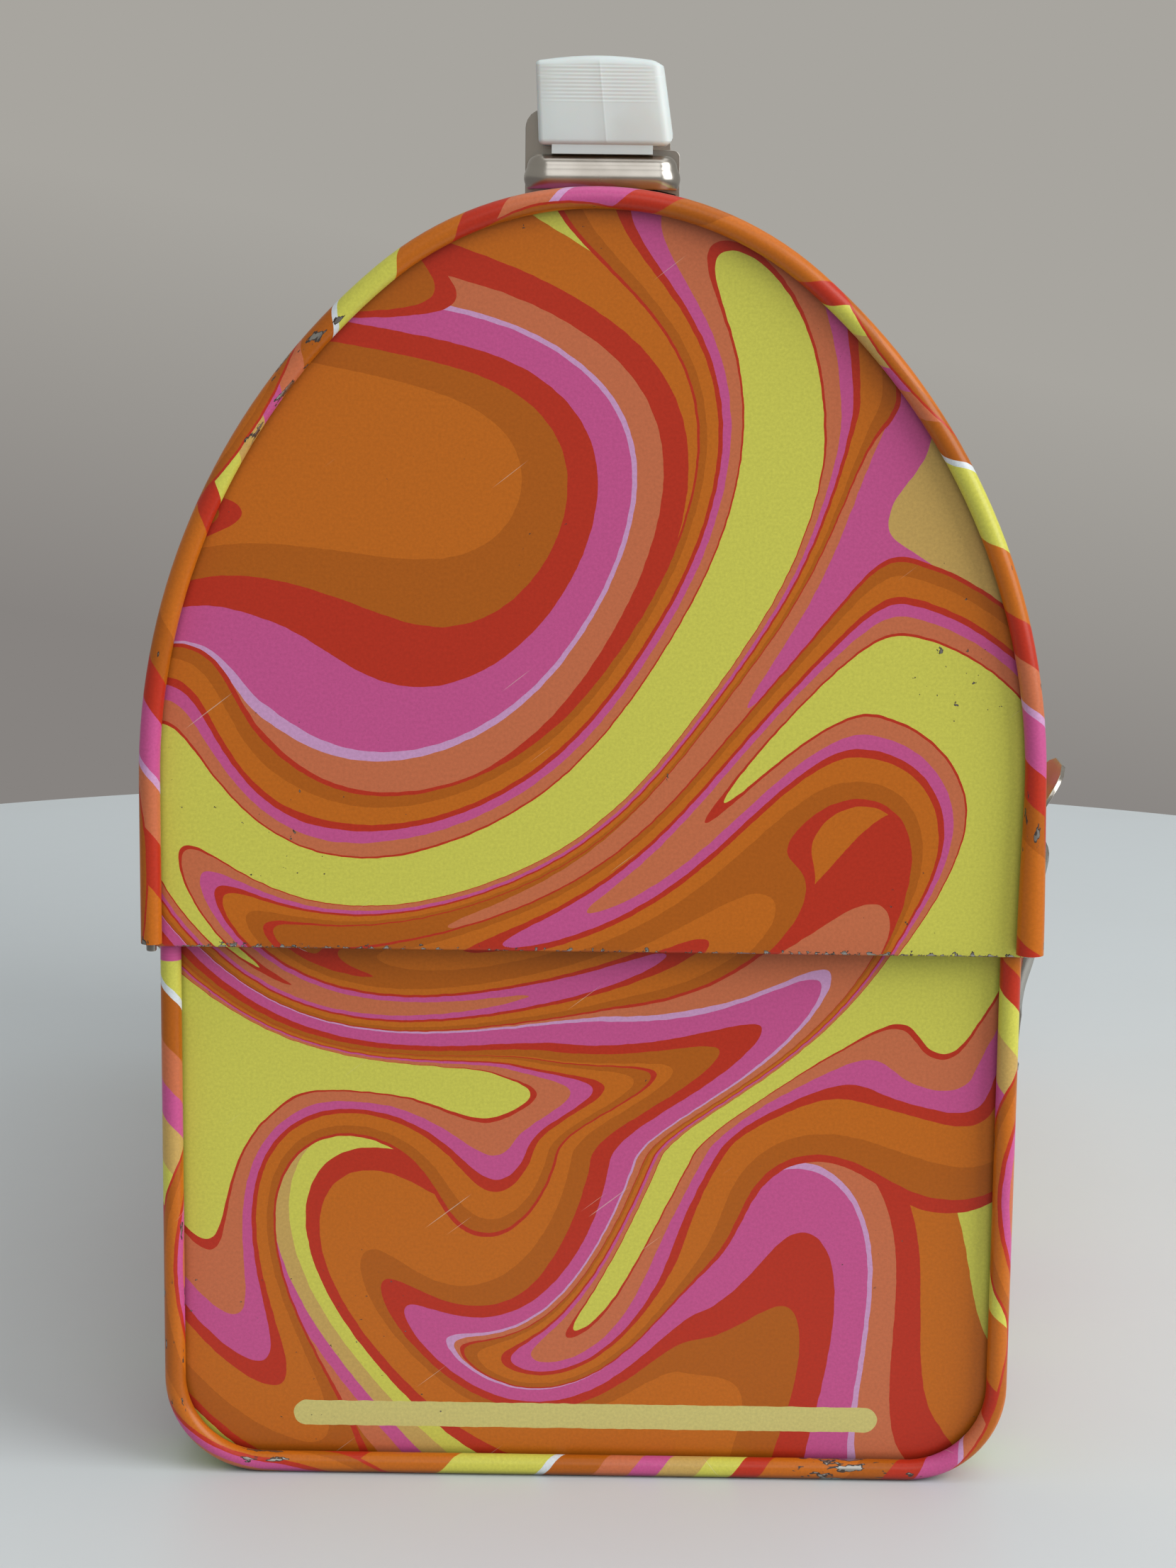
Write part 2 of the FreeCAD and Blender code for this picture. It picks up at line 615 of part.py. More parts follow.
def latch_catch(middle):
    """The catch on the lid: a riveted plate with a pressed nose under the hasp's waist."""
    face_y = -(LID_HALF + LATCH_SHEET)
    low = V(middle - CATCH_WIDTH / 2, face_y, CATCH_FOOT_Z)
    high = V(middle + CATCH_WIDTH / 2, -LID_HALF, CATCH_FOOT_Z + CATCH_HEIGHT)
    plate = block(low, high)
    uprights = [edge for edge in plate.Edges if abs(edge.Length - LATCH_SHEET) < MATCH]
    plate = plate.makeFillet(RIVET_HEAD, uprights)
    nose = Part.Face(Part.makePolygon([
        V(0, face_y + LATCH_SHEET / 2, CATCH_FOOT_Z + LATCH_SHEET),
        V(0, face_y, CATCH_FOOT_Z + LATCH_SHEET),
        V(0, face_y - CATCH_NOSE_REACH, CATCH_NOSE_Z),
        V(0, face_y, CATCH_NOSE_Z + CATCH_NOSE_REACH / 2),
        V(0, face_y + LATCH_SHEET / 2, CATCH_NOSE_Z + CATCH_NOSE_REACH / 2),
        V(0, face_y + LATCH_SHEET / 2, CATCH_FOOT_Z + LATCH_SHEET),
    ]))
    holes = [rivet_hole(*spot) for spot in lid_rivets()["latch_catch_rivets"]]
    return fused([plate, across(nose, middle, CATCH_NOSE_WIDTH)]).cut(holes)


def handle_grip():
    """The moulded grip: an arch with a crowned section, and a necked hook under each leg."""
    high_x = HANDLE_HALF_LENGTH - HANDLE_LEAN
    inner_x = HANDLE_HALF_LENGTH - HANDLE_LEG
    under_z = HANDLE_TOP_Z - HANDLE_BAR
    outer = rounded_edges([
        V(-HANDLE_HALF_LENGTH, 0, HANDLE_SHOULDER_Z),
        V(-high_x, 0, HANDLE_TOP_Z),
        V(high_x, 0, HANDLE_TOP_Z),
        V(HANDLE_HALF_LENGTH, 0, HANDLE_SHOULDER_Z),
    ], [HANDLE_OUTER_BEND] * 2)
    inner = rounded_edges([
        V(inner_x, 0, HANDLE_SHOULDER_Z),
        V(inner_x, 0, under_z),
        V(-inner_x, 0, under_z),
        V(-inner_x, 0, HANDLE_SHOULDER_Z),
    ], [HANDLE_INNER_BEND] * 2)
    feet = [
        line(V(HANDLE_HALF_LENGTH, 0, HANDLE_SHOULDER_Z), V(inner_x, 0, HANDLE_SHOULDER_Z)),
        line(V(-inner_x, 0, HANDLE_SHOULDER_Z), V(-HANDLE_HALF_LENGTH, 0, HANDLE_SHOULDER_Z)),
    ]
    side_view = Part.Face(Part.Wire(outer + feet[:1] + inner + feet[1:]))
    arch = side_view.translated(V(0, -HANDLE_WIDTH_LOW, 0)).extrude(V(0, 2 * HANDLE_WIDTH_LOW, 0))
    low, top = HANDLE_WIDTH_LOW / 2, HANDLE_WIDTH_TOP / 2
    crown_z = HANDLE_TOP_Z - HANDLE_CROWN
    end_view = Part.Face(Part.Wire([
        line(V(0, low, HANDLE_SHOULDER_Z), V(0, -low, HANDLE_SHOULDER_Z)),
        line(V(0, -low, HANDLE_SHOULDER_Z), V(0, -top, crown_z)),
        arc(V(0, -top, crown_z), V(0, 0, HANDLE_TOP_Z), V(0, top, crown_z)),
        line(V(0, top, crown_z), V(0, low, HANDLE_SHOULDER_Z)),
    ]))
    bar = arch.common(across(end_view, 0, 3 * HANDLE_HALF_LENGTH))
    hooks = [handle_hook(side) for side in SIDES.values()]
    return fused([bar] + hooks)


def handle_hook(side):
    """The neck under one leg, with a wider foot that stays under the bracket's lips."""
    near = NECK_MIDDLE - NECK_THICK / 2
    far = NECK_MIDDLE + NECK_THICK / 2
    half = NECK_WIDTH / 2
    toe = FOOT_WIDTH / 2
    neck = block(V(near, -half, FOOT_LOW_Z), V(far, half, HANDLE_SHOULDER_Z))
    foot = block(V(near, -toe, FOOT_LOW_Z), V(far, toe, FOOT_LOW_Z + FOOT_THICK))
    hook = fused([neck, foot])
    return hook if side > 0 else hook.mirror(V(0, 0, 0), ALONG)


def handle_bracket(side):
    """A plated loop: a base on the dome, an eared back plate and a band with lips over the foot."""
    back_x = EAR_X - BRACKET_SHEET
    half = BRACKET_WIDTH / 2
    seat = DOME_TOP_RADIUS + DOME_SEAT
    dome_axis = V(0, 0, DOME_CENTRE_Z)
    inside = Part.makeCylinder(seat, LID_LENGTH, dome_axis, ALONG)
    outside = Part.makeCylinder(seat + BRACKET_SHEET, LID_LENGTH, dome_axis, ALONG)
    footprint = block(V(back_x - BRACKET_BASE, -half, DOME_CENTRE_Z), V(EAR_X, half, DOME_TOP_Z + 2 * seat))
    base = outside.common(footprint).cut(inside)
    ear_half = BRACKET_EAR_WIDTH / 2
    plate = block(V(back_x, -ear_half, DOME_CENTRE_Z), V(EAR_X, ear_half, BRACKET_EAR_Z))
    top_edges = [
        edge for edge in plate.Edges
        if edge.CenterOfMass.z > BRACKET_EAR_Z - MATCH and abs(edge.Length - BRACKET_SHEET) < MATCH
    ]
    plate = plate.makeFillet(BRACKET_EAR_ROUND, top_edges).cut(inside)
    front_x = HANDLE_HALF_LENGTH
    loop = band_face(back_x, front_x, half, BRACKET_CORNER).cut(
        band_face(back_x, front_x - BRACKET_SHEET, half - BRACKET_SHEET, BRACKET_CORNER - BRACKET_SHEET)
    )
    band = loop.extrude(V(0, 0, BAND_TOP_Z - BAND_LOW_Z))
    lip_inner = NECK_WIDTH / 2 + LIP_FIT
    lip_low = V(back_x, lip_inner, BAND_TOP_Z - BRACKET_SHEET)
    lip = block(lip_low, V(front_x - BRACKET_CORNER, half - BRACKET_SHEET / 2, BAND_TOP_Z))
    lips = [lip, lip.mirror(V(0, 0, 0), V(0, 1, 0))]
    holes = [rivet_hole(*spot) for spot in lid_rivets()["handle_bracket_rivets"]]
    bracket = fused([base, plate, band] + lips)
    bracket = bracket if side > 0 else bracket.mirror(V(0, 0, 0), ALONG)
    return bracket.cut(holes)


def band_face(back_x, front_x, half, corner):
    """Plan of the band: square at the back plate, rounded towards the end of the box."""
    corners = [
        V(back_x, -half, BAND_LOW_Z),
        V(front_x, -half, BAND_LOW_Z),
        V(front_x, half, BAND_LOW_Z),
        V(back_x, half, BAND_LOW_Z),
    ]
    edges = rounded_edges(corners, [corner] * 2)
    return Part.Face(Part.Wire(edges + [line(corners[-1], corners[0])]))


def bottle_bail():
    """A wire bail that swings across the dome's mouth to hold a bottle."""
    far_y = LID_INNER - PIN_FIT
    tip_x = BAIL_PIVOT_X + BAIL_LENGTH
    corners = [
        V(BAIL_PIVOT_X, -far_y, BAIL_Z),
        V(BAIL_PIVOT_X, -BAIL_HALF_WIDTH, BAIL_Z),
        V(tip_x, -BAIL_HALF_WIDTH, BAIL_Z),
        V(tip_x, BAIL_HALF_WIDTH, BAIL_Z),
        V(BAIL_PIVOT_X, BAIL_HALF_WIDTH, BAIL_Z),
        V(BAIL_PIVOT_X, far_y, BAIL_Z),
    ]
    path = Part.Wire(rounded_edges(corners, [BAIL_BEND] * 4))
    return path.makePipeShell([ring(corners[0], V(0, 1, 0), BAIL_WIRE_RADIUS)], True, True)


def bail_eye(face):
    """A riveted eye on one skirt of the lid, for an end of the bail."""
    inner = face * LID_INNER
    plate_y = face * (LID_INNER - EYE_SHEET)
    boss_y = face * (LID_INNER - EYE_SHEET - EYE_BOSS_LENGTH)
    low_y, high_y = sorted([inner, plate_y])
    plate = block(
        V(BAIL_PIVOT_X - EYE_WIDTH / 2, low_y, BAIL_Z - EYE_HEIGHT / 2),
        V(BAIL_PIVOT_X + EYE_WIDTH / 2, high_y, BAIL_Z + EYE_HEIGHT / 2),
    )
    uprights = [edge for edge in plate.Edges if abs(edge.Length - EYE_SHEET) < MATCH]
    plate = plate.makeFillet(EYE_HEIGHT / 3, uprights)
    centre = V(BAIL_PIVOT_X, 0, BAIL_Z)
    boss = rod(centre + V(0, plate_y, 0), centre + V(0, boss_y, 0), EYE_BOSS_RADIUS)
    bore = rod(centre + V(0, inner + face, 0), centre + V(0, boss_y - face, 0), BAIL_WIRE_RADIUS + BAIL_FIT)
    holes = [rivet_hole(*spot) for spot in lid_rivets()["bail_eye_rivets"]]
    return fused([plate, boss]).cut([bore] + holes)


def pieces():
    """Every piece of the lunch box by name."""
    made = {
        "body_shell": body_shell(),
        "lid_shell": lid_shell(),
        "hinge_body_leaf": hinge_leaf(0, -1, BODY_INNER),
        "hinge_lid_leaf": hinge_leaf(1, 1, LID_INNER),
        "hinge_pin": hinge_pin(),
        "handle_grip": handle_grip(),
        "bottle_bail": bottle_bail(),
        "bail_eye_front": bail_eye(-1),
        "bail_eye_back": bail_eye(1),
    }
    for name, side in SIDES.items():
        made["body_end_" + name] = body_end(side)
        made["body_wire_" + name] = Part.Compound(body_wire_ends(side, 0))
        made["lid_end_" + name] = lid_end(side)
        made["lid_wire_" + name] = Part.Compound(lid_wire_ends(side, 0))
        made["latch_base_" + name] = latch_base(side * LATCH_X)
        made["latch_pin_" + name] = latch_pin(side * LATCH_X)
        made["latch_hasp_" + name] = latch_hasp(side * LATCH_X)
        made["latch_catch_" + name] = latch_catch(side * LATCH_X)
        made["handle_bracket_" + name] = handle_bracket(side)
    for name, spots in {**body_rivets(), **lid_rivets()}.items():
        made[name] = rivets(spots)
    return made


os.makedirs("parts", exist_ok=True)
for node, shape in pieces().items():
    shape.exportStep("parts/" + node + ".step")
    print(node, len(shape.Solids), round(shape.Volume, 1), shape.isValid())
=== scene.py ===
"""Looks of a dome-top tin lunch box: printed sheets, rolled seams, plated fittings and a moulded grip."""
import json
import logging
import math
from dataclasses import dataclass, field
from enum import Enum
from typing import Dict, List, Optional, Sequence, Tuple

import bmesh
import bpy
from mathutils import Matrix, Vector


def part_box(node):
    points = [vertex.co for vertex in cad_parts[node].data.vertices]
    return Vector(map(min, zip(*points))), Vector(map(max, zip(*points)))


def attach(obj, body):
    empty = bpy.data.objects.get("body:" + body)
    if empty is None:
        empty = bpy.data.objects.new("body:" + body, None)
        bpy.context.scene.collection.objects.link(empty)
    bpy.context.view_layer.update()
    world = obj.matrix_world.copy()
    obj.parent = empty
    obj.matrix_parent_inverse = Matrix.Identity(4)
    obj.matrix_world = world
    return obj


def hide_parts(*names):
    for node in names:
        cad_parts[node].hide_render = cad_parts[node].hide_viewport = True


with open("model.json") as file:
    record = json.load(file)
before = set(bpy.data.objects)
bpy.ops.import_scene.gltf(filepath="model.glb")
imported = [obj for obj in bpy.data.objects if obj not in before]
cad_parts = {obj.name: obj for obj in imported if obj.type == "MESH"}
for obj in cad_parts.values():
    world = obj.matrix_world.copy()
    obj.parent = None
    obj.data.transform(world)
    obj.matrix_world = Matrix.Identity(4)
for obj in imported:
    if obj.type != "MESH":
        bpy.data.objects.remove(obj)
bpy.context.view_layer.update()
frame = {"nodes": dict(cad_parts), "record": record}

LOG = logging.getLogger("lunch_box")
MM = 0.001
PRINT_MAP = "print"

Pair = Tuple[float, float]
Point = Sequence[float]
Stop = Tuple[float, str]


class End(Enum):
    """The two ends of the box, by the sign of X."""

    LEFT = -1
    RIGHT = 1


class Ink(Enum):
    """Inks of the printed sheets and what shows where they are gone, as sRGB hex values."""

    ORANGE = "#bf6612"
    DEEP_ORANGE = "#ad5a0c"
    PINK = "#c25188"
    CORAL = "#c36b45"
    LIME = "#cac651"
    RED = "#b62e17"
    TAN = "#c29e57"
    LAVENDER = "#c795bd"
    WHITE = "#d3d8da"
    PALE_YELLOW = "#cbbf74"
    BARE_TIN = "#a8a6a1"
    DARK_SCUFF = "#453a34"
    HAIRLINE = "#d8cfbb"


def linear(code: str) -> Tuple[float, float, float, float]:
    """Turn an sRGB hex value into a linear colour.

    Args:
        code: The colour as #rrggbb.

    Returns:
        Linear red, green, blue and an alpha of one.
    """
    channels = [int(code[place:place + 2], 16) / 255 for place in (1, 3, 5)]
    red, green, blue = [
        value / 12.92 if value <= 0.04045 else ((value + 0.055) / 1.055) ** 2.4 for value in channels
    ]
    return red, green, blue, 1.0


def add_node(
    tree: bpy.types.NodeTree,
    kind: str,
    links: Optional[Dict[object, object]] = None,
    stops: Optional[Sequence[Stop]] = None,
    **settings: object,
) -> bpy.types.Node:
    """Add a node with its settings, links and ramp stops.

    Args:
        tree: The node tree that gets the node.
        kind: Blender's name for the node's type.
        links: What each input takes, by its name or number: a socket or a plain value.
        stops: Places and hex colours of a colour ramp.
        **settings: Properties of the node.

    Returns:
        The new node.
    """
    made = tree.nodes.new(kind)
    for name, value in settings.items():
        setattr(made, name, value)
    for name, source in (links or {}).items():
        if isinstance(source, bpy.types.NodeSocket):
            tree.links.new(source, made.inputs[name])
        else:
            made.inputs[name].default_value = source
    if stops:
        ramp = made.color_ramp
        ramp.interpolation = "CONSTANT"
        while len(ramp.elements) < len(stops):
            ramp.elements.new(1.0)
        for element, (place, code) in zip(ramp.elements, stops):
            element.position = place
            element.color = linear(code)
    return made


def new_material(name: str) -> Tuple[bpy.types.Material, bpy.types.NodeTree, bpy.types.Node]:
    """Make an empty material with a principled shader.

    Args:
        name: What the real material is called.

    Returns:
        The material, its node tree and its shader node.
    """
    material = bpy.data.materials.new(name)
    material.use_nodes = True
    tree = material.node_tree
    return material, tree, tree.nodes["Principled BSDF"]


@dataclass(frozen=True)
class Eddy:
    """A turn in the flow of the print: bands near its middle are wound round it."""

    place: Pair
    reach: float
    turn: float


@dataclass(frozen=True)
class BareStrip:
    """A plain strip with rounded ends, left free of the pattern."""

    middle: Pair
    length: float
    width: float

    def lay(
        self, tree: bpy.types.NodeTree, place: bpy.types.NodeSocket, printed: bpy.types.NodeSocket
    ) -> bpy.types.NodeSocket:
        """Lay the strip over the print.

        Args:
            tree: The material's node tree.
            place: Place on the sheet in millimetres.
            printed: The print's colour.

        Returns:
            The colour with the strip.
        """
        away = add_node(
            tree, "ShaderNodeVectorMath", {0: place, 1: (*self.middle, 0.0)}, operation="SUBTRACT"
        )
        folded = add_node(tree, "ShaderNodeVectorMath", {0: away.outputs[0]}, operation="ABSOLUTE")
        straight_half = (self.length - self.width) / 2
        past = add_node(
            tree, "ShaderNodeVectorMath", {0: folded.outputs[0], 1: (straight_half, 0.0, 0.0)},
            operation="SUBTRACT",
        )
        outside = add_node(
            tree, "ShaderNodeVectorMath", {0: past.outputs[0], 1: (0.0, 0.0, 0.0)}, operation="MAXIMUM"
        )
        distance = add_node(tree, "ShaderNodeVectorMath", {0: outside.outputs[0]}, operation="LENGTH")
        inside = add_node(
            tree, "ShaderNodeMath", {0: distance.outputs["Value"], 1: self.width / 2}, operation="LESS_THAN"
        )
        return add_node(
            tree, "ShaderNodeMix",
            {"Factor": inside.outputs[0], "A": printed, "B": linear(Ink.PALE_YELLOW.value)},
            data_type="RGBA",
        ).outputs["Result"]


@dataclass(frozen=True)
class PrintDesign:
    """Flowing bands and drops of ink, worked out in millimetres on the sheet."""

    eddies: Tuple[Eddy, ...]
    slant: float = 28.0
    repeat: float = 104.0
    wander: float = 34.0
    wander_size: float = 120.0
    drop_spacing: float = 66.0
    seed: float = 0.0
    rag: float = 0.25
    rag_size: float = 1.6
    strip: Optional[BareStrip] = None

    BANDS = (
        (0.0, Ink.ORANGE), (0.13, Ink.DEEP_ORANGE), (0.185, Ink.RED), (0.235, Ink.PINK),
        (0.305, Ink.LAVENDER), (0.317, Ink.CORAL), (0.38, Ink.RED), (0.445, Ink.ORANGE),
        (0.55, Ink.LIME), (0.67, Ink.WHITE), (0.682, Ink.DEEP_ORANGE), (0.75, Ink.CORAL),
        (0.8, Ink.PINK), (0.84, Ink.TAN), (0.9, Ink.LIME), (0.955, Ink.RED),
    )
    DROPS = (
        (0.0, Ink.LIME), (0.21, Ink.RED), (0.218, Ink.CORAL), (0.262, Ink.PINK), (0.3, Ink.RED),
        (0.318, Ink.ORANGE), (0.37, Ink.DEEP_ORANGE), (0.402, Ink.RED),
    )
    DROP_EDGE = 0.413
    DROP_STRETCH = 0.55
    DROP_SCATTER = 0.8
    DROP_SMOOTH = 0.25

    def shifted(
        self, tree: bpy.types.NodeTree, place: bpy.types.NodeSocket, reach: float, size: float
    ) -> bpy.types.NodeSocket:
        """Shift the sheet's coordinates by a smooth noise.

        Args:
            tree: The material's node tree.
            place: Place on the sheet in millimetres.
            reach: How far the place can be carried off.
            size: Width of the noise's waves.

        Returns:
            The shifted place.
        """
        noise = add_node(
            tree, "ShaderNodeTexNoise",
            {"Vector": place, "W": self.seed, "Scale": 1 / size, "Detail": 1.0, "Roughness": 0.4},
            noise_dimensions="4D",
        )
        centred = add_node(
            tree, "ShaderNodeVectorMath", {0: noise.outputs["Color"], 1: (0.5, 0.5, 0.5)},
            operation="SUBTRACT",
        )
        return add_node(
            tree, "ShaderNodeVectorMath", {0: centred.outputs[0], 1: (2 * reach, 2 * reach, 0.0), 2: place},
            operation="MULTIPLY_ADD",
        ).outputs[0]

    def wound(self, tree: bpy.types.NodeTree, place: bpy.types.NodeSocket) -> bpy.types.NodeSocket:
        """Wind the sheet's coordinates round every eddy.

        Args:
            tree: The material's node tree.
            place: Place on the sheet in millimetres.

        Returns:
            The wound place.
        """
        for eddy in self.eddies:
            middle = (*eddy.place, 0.0)
            away = add_node(tree, "ShaderNodeVectorMath", {0: place, 1: middle}, operation="DISTANCE")
            angle = add_node(
                tree, "ShaderNodeMapRange",
                {"Value": away.outputs["Value"], "From Min": 0.0, "From Max": eddy.reach,
                 "To Min": math.radians(eddy.turn), "To Max": 0.0},
                interpolation_type="SMOOTHSTEP",
            )
            place = add_node(
                tree, "ShaderNodeVectorRotate",
                {"Vector": place, "Center": middle, "Angle": angle.outputs["Result"]},
                rotation_type="Z_AXIS",
            ).outputs[0]
        return place

    def colour(self, tree: bpy.types.NodeTree, place: bpy.types.NodeSocket) -> bpy.types.NodeSocket:
        """Draw the print.

        Args:
            tree: The material's node tree.
            place: Place on the sheet in millimetres.

        Returns:
            The ink's colour.
        """
        ragged = self.shifted(tree, place, self.rag / 2, self.rag_size)
        bent = self.wound(tree, self.shifted(tree, ragged, self.wander, self.wander_size))
        lean = math.radians(self.slant)
        across = (math.cos(lean) / self.repeat, math.sin(lean) / self.repeat, 0.0)
        run = add_node(tree, "ShaderNodeVectorMath", {0: bent, 1: across}, operation="DOT_PRODUCT")
        phase = add_node(tree, "ShaderNodeMath", {0: run.outputs["Value"]}, operation="FRACT")
        bands = add_node(
            tree, "ShaderNodeValToRGB", {"Fac": phase.outputs[0]},
            stops=[(at, ink.value) for at, ink in self.BANDS],
        )
        stretched = add_node(
            tree, "ShaderNodeVectorMath", {0: bent, 1: (1.0, self.DROP_STRETCH, 1.0)}, operation="MULTIPLY"
        )
        cells = add_node(
            tree, "ShaderNodeTexVoronoi",
            {"Vector": stretched.outputs[0], "Scale": 1 / self.drop_spacing,
             "Randomness": self.DROP_SCATTER, "Smoothness": self.DROP_SMOOTH},
            voronoi_dimensions="2D", feature="SMOOTH_F1",
        )
        drops = add_node(
            tree, "ShaderNodeValToRGB", {"Fac": cells.outputs["Distance"]},
            stops=[(at, ink.value) for at, ink in self.DROPS],
        )
        inside = add_node(
            tree, "ShaderNodeMath", {0: cells.outputs["Distance"], 1: self.DROP_EDGE}, operation="LESS_THAN"
        )
        printed = add_node(
            tree, "ShaderNodeMix",
            {"Factor": inside.outputs[0], "A": bands.outputs["Color"], "B": drops.outputs["Color"]},
            data_type="RGBA",
        ).outputs["Result"]
        return self.strip.lay(tree, ragged, printed) if self.strip else printed


@dataclass(frozen=True)
class Scuff:
    """A worn spot of the print: where it is on the sheet, how far it reaches and how deep it goes."""

    place: Pair
    reach: float
    depth: float


@dataclass(frozen=True)
class PrintedTinplate:
    """Tinplate with flat offset inks under a thin varnish: even colour, crisp edges, a soft sheen and chips.

    rim holds the places, in millimetres from the sheet's middle line, between which its edge loses ink;
    with by_height they are heights.
    """

    name: str
    design: PrintDesign
    rim: Pair
    rim_depth: float
    by_height: bool = False
    scuffs: Tuple[Scuff, ...] = ()
    roughness: float = 0.33
    sheen: float = 0.32
    chip_size: float = 2.2
    chip_stretch: float = 1.0
    cluster_size: float = 34.0
    cluster_depth: Pair = (-0.34, -0.15)
    ink_edge: float = 0.5
    tin_edge: float = 0.535
    grit: float = 0.4
    grit_shade: float = 0.08
    grit_polish: float = 0.06
    scratch_size: Pair = (16.0, 0.3)
    scratch_turn: float = 38.0
    scratch_edge: Pair = (0.86, 0.89)
    scratch_strength: float = 0.4
    # Painted shade in creases: the ambient occlusion's reach in millimetres, and the darkest share of the
    # ink's colour kept there
    crease: float = 1.6
    crease_shade: float = 0.42

    def wear(self, tree: bpy.types.NodeTree, place: bpy.types.NodeSocket) -> bpy.types.NodeSocket:
        """Work out how far the ink is worn.

        Args:
            tree: The material's node tree.
            place: Place on the sheet in millimetres.

        Returns:
            Wear: past ink_edge the ink is scuffed dark, past tin_edge the tin is bare.
        """
        drawn_out = add_node(
            tree, "ShaderNodeVectorMath", {0: place, 1: (1.0, 1 / self.chip_stretch, 1.0)},
            operation="MULTIPLY",
        )
        chips = add_node(
            tree, "ShaderNodeTexNoise",
            {"Vector": drawn_out.outputs[0], "Scale": 1 / self.chip_size, "Detail": 3.0, "Roughness": 0.6},
        )
        patches = add_node(
            tree, "ShaderNodeTexNoise", {"Vector": place, "Scale": 1 / self.cluster_size, "Detail": 1.0}
        )
        cluster = add_node(
            tree, "ShaderNodeMapRange",
            {"Value": patches.outputs["Fac"], "From Min": 0.35, "From Max": 0.75,
             "To Min": self.cluster_depth[0], "To Max": self.cluster_depth[1]},
        )
        parts = add_node(tree, "ShaderNodeSeparateXYZ", {"Vector": place})
        along = add_node(
            tree, "ShaderNodeMath", {0: parts.outputs["Y" if self.by_height else "X"]}, operation="ABSOLUTE"
        )
        rim = add_node(
            tree, "ShaderNodeMapRange",
            {"Value": along.outputs[0], "From Min": self.rim[0], "From Max": self.rim[1],
             "To Min": 0.0, "To Max": self.rim_depth},
        )
        terms = [cluster.outputs["Result"], rim.outputs["Result"]]
        for scuff in self.scuffs:
            away = add_node(
                tree, "ShaderNodeVectorMath", {0: place, 1: (*scuff.place, 0.0)}, operation="DISTANCE"
            )
            spot = add_node(
                tree, "ShaderNodeMapRange",
                {"Value": away.outputs["Value"], "From Min": 0.0, "From Max": scuff.reach,
                 "To Min": scuff.depth, "To Max": 0.0},
            )
            terms.append(spot.outputs["Result"])
        total = chips.outputs["Fac"]
        for term in terms:
            total = add_node(tree, "ShaderNodeMath", {0: total, 1: term}, operation="ADD").outputs[0]
        return total

    def scratched(
        self, tree: bpy.types.NodeTree, place: bpy.types.NodeSocket, inked: bpy.types.NodeSocket
    ) -> bpy.types.NodeSocket:
        """Draw fine pale hairlines over the ink.

        Args:
            tree: The material's node tree.
            place: Place on the sheet in millimetres.
            inked: The print's colour.

        Returns:
            The colour with hairlines.
        """
        drawn_out = add_node(
            tree, "ShaderNodeMapping",
            {"Vector": place, "Rotation": (0.0, 0.0, math.radians(self.scratch_turn)),
             "Scale": (*self.scratch_size, 1.0)},
            vector_type="TEXTURE",
        )
        streaks = add_node(
            tree, "ShaderNodeTexNoise", {"Vector": drawn_out.outputs[0], "Scale": 1.0, "Detail": 0.0}
        )
        line = add_node(
            tree, "ShaderNodeMapRange",
            {"Value": streaks.outputs["Fac"], "From Min": self.scratch_edge[0],
             "From Max": self.scratch_edge[1], "To Min": 0.0, "To Max": self.scratch_strength},
        )
        return add_node(
            tree, "ShaderNodeMix",
            {"Factor": line.outputs["Result"], "A": inked, "B": linear(Ink.HAIRLINE.value)},
            data_type="RGBA",
        ).outputs["Result"]

    def make(self) -> bpy.types.Material:
        """Build the material."""
        material, tree, shader = new_material(self.name)
        place = add_node(tree, "ShaderNodeUVMap", uv_map=PRINT_MAP).outputs["UV"]
        inked = self.scratched(tree, place, self.design.colour(tree, place))
        grain = add_node(
            tree, "ShaderNodeTexNoise",
            {"Vector": place, "Scale": 1 / self.grit, "Detail": 2.0, "Roughness": 0.7},
        )
        shade = add_node(
            tree, "ShaderNodeMapRange",
            {"Value": grain.outputs["Fac"], "From Min": 0.3, "From Max": 0.7,
             "To Min": 1 - self.grit_shade, "To Max": 1 + self.grit_shade},
        )
        # Painted shade: where the ambient occlusion finds a crease, as beside the seam's bead, the ink is
        # darkened down to crease_shade of its colour; elsewhere it takes the grain's tone
        sky = add_node(tree, "ShaderNodeAmbientOcclusion", {"Distance": self.crease * MM}, samples=6)
        painted_shade_and_grain = add_node(
            tree, "ShaderNodeMapRange",
            {"Value": sky.outputs["AO"], "From Min": 0.25, "From Max": 0.7,
             "To Min": self.crease_shade, "To Max": shade.outputs["Result"]},
        )
        ink_grain_and_painted_shade = add_node(
            tree, "ShaderNodeVectorMath", {0: inked, "Scale": painted_shade_and_grain.outputs["Result"]}, operation="SCALE"
        )
        worn = self.wear(tree, place)
        scuffed = add_node(tree, "ShaderNodeMath", {0: worn, 1: self.ink_edge}, operation="GREATER_THAN")
        bare = add_node(tree, "ShaderNodeMath", {0: worn, 1: self.tin_edge}, operation="GREATER_THAN")
        dark = add_node(
            tree, "ShaderNodeMix",
            {"Factor": scuffed.outputs[0], "A": ink_grain_and_painted_shade.outputs[0], "B": linear(Ink.DARK_SCUFF.value)},
            data_type="RGBA",
        )
        colour = add_node(
            tree, "ShaderNodeMix",
            {"Factor": bare.outputs[0], "A": dark.outputs["Result"], "B": linear(Ink.BARE_TIN.value)},
            data_type="RGBA",
        )
        rough = add_node(
            tree, "ShaderNodeMapRange",
            {"Value": grain.outputs["Fac"], "To Min": self.roughness - self.grit_polish,
             "To Max": self.roughness + self.grit_polish},
        )
        shader.inputs["Specular IOR Level"].default_value = self.sheen
        tree.links.new(colour.outputs["Result"], shader.inputs["Base Color"])
        tree.links.new(bare.outputs[0], shader.inputs["Metallic"])
        tree.links.new(rough.outputs["Result"], shader.inputs["Roughness"])
        return material


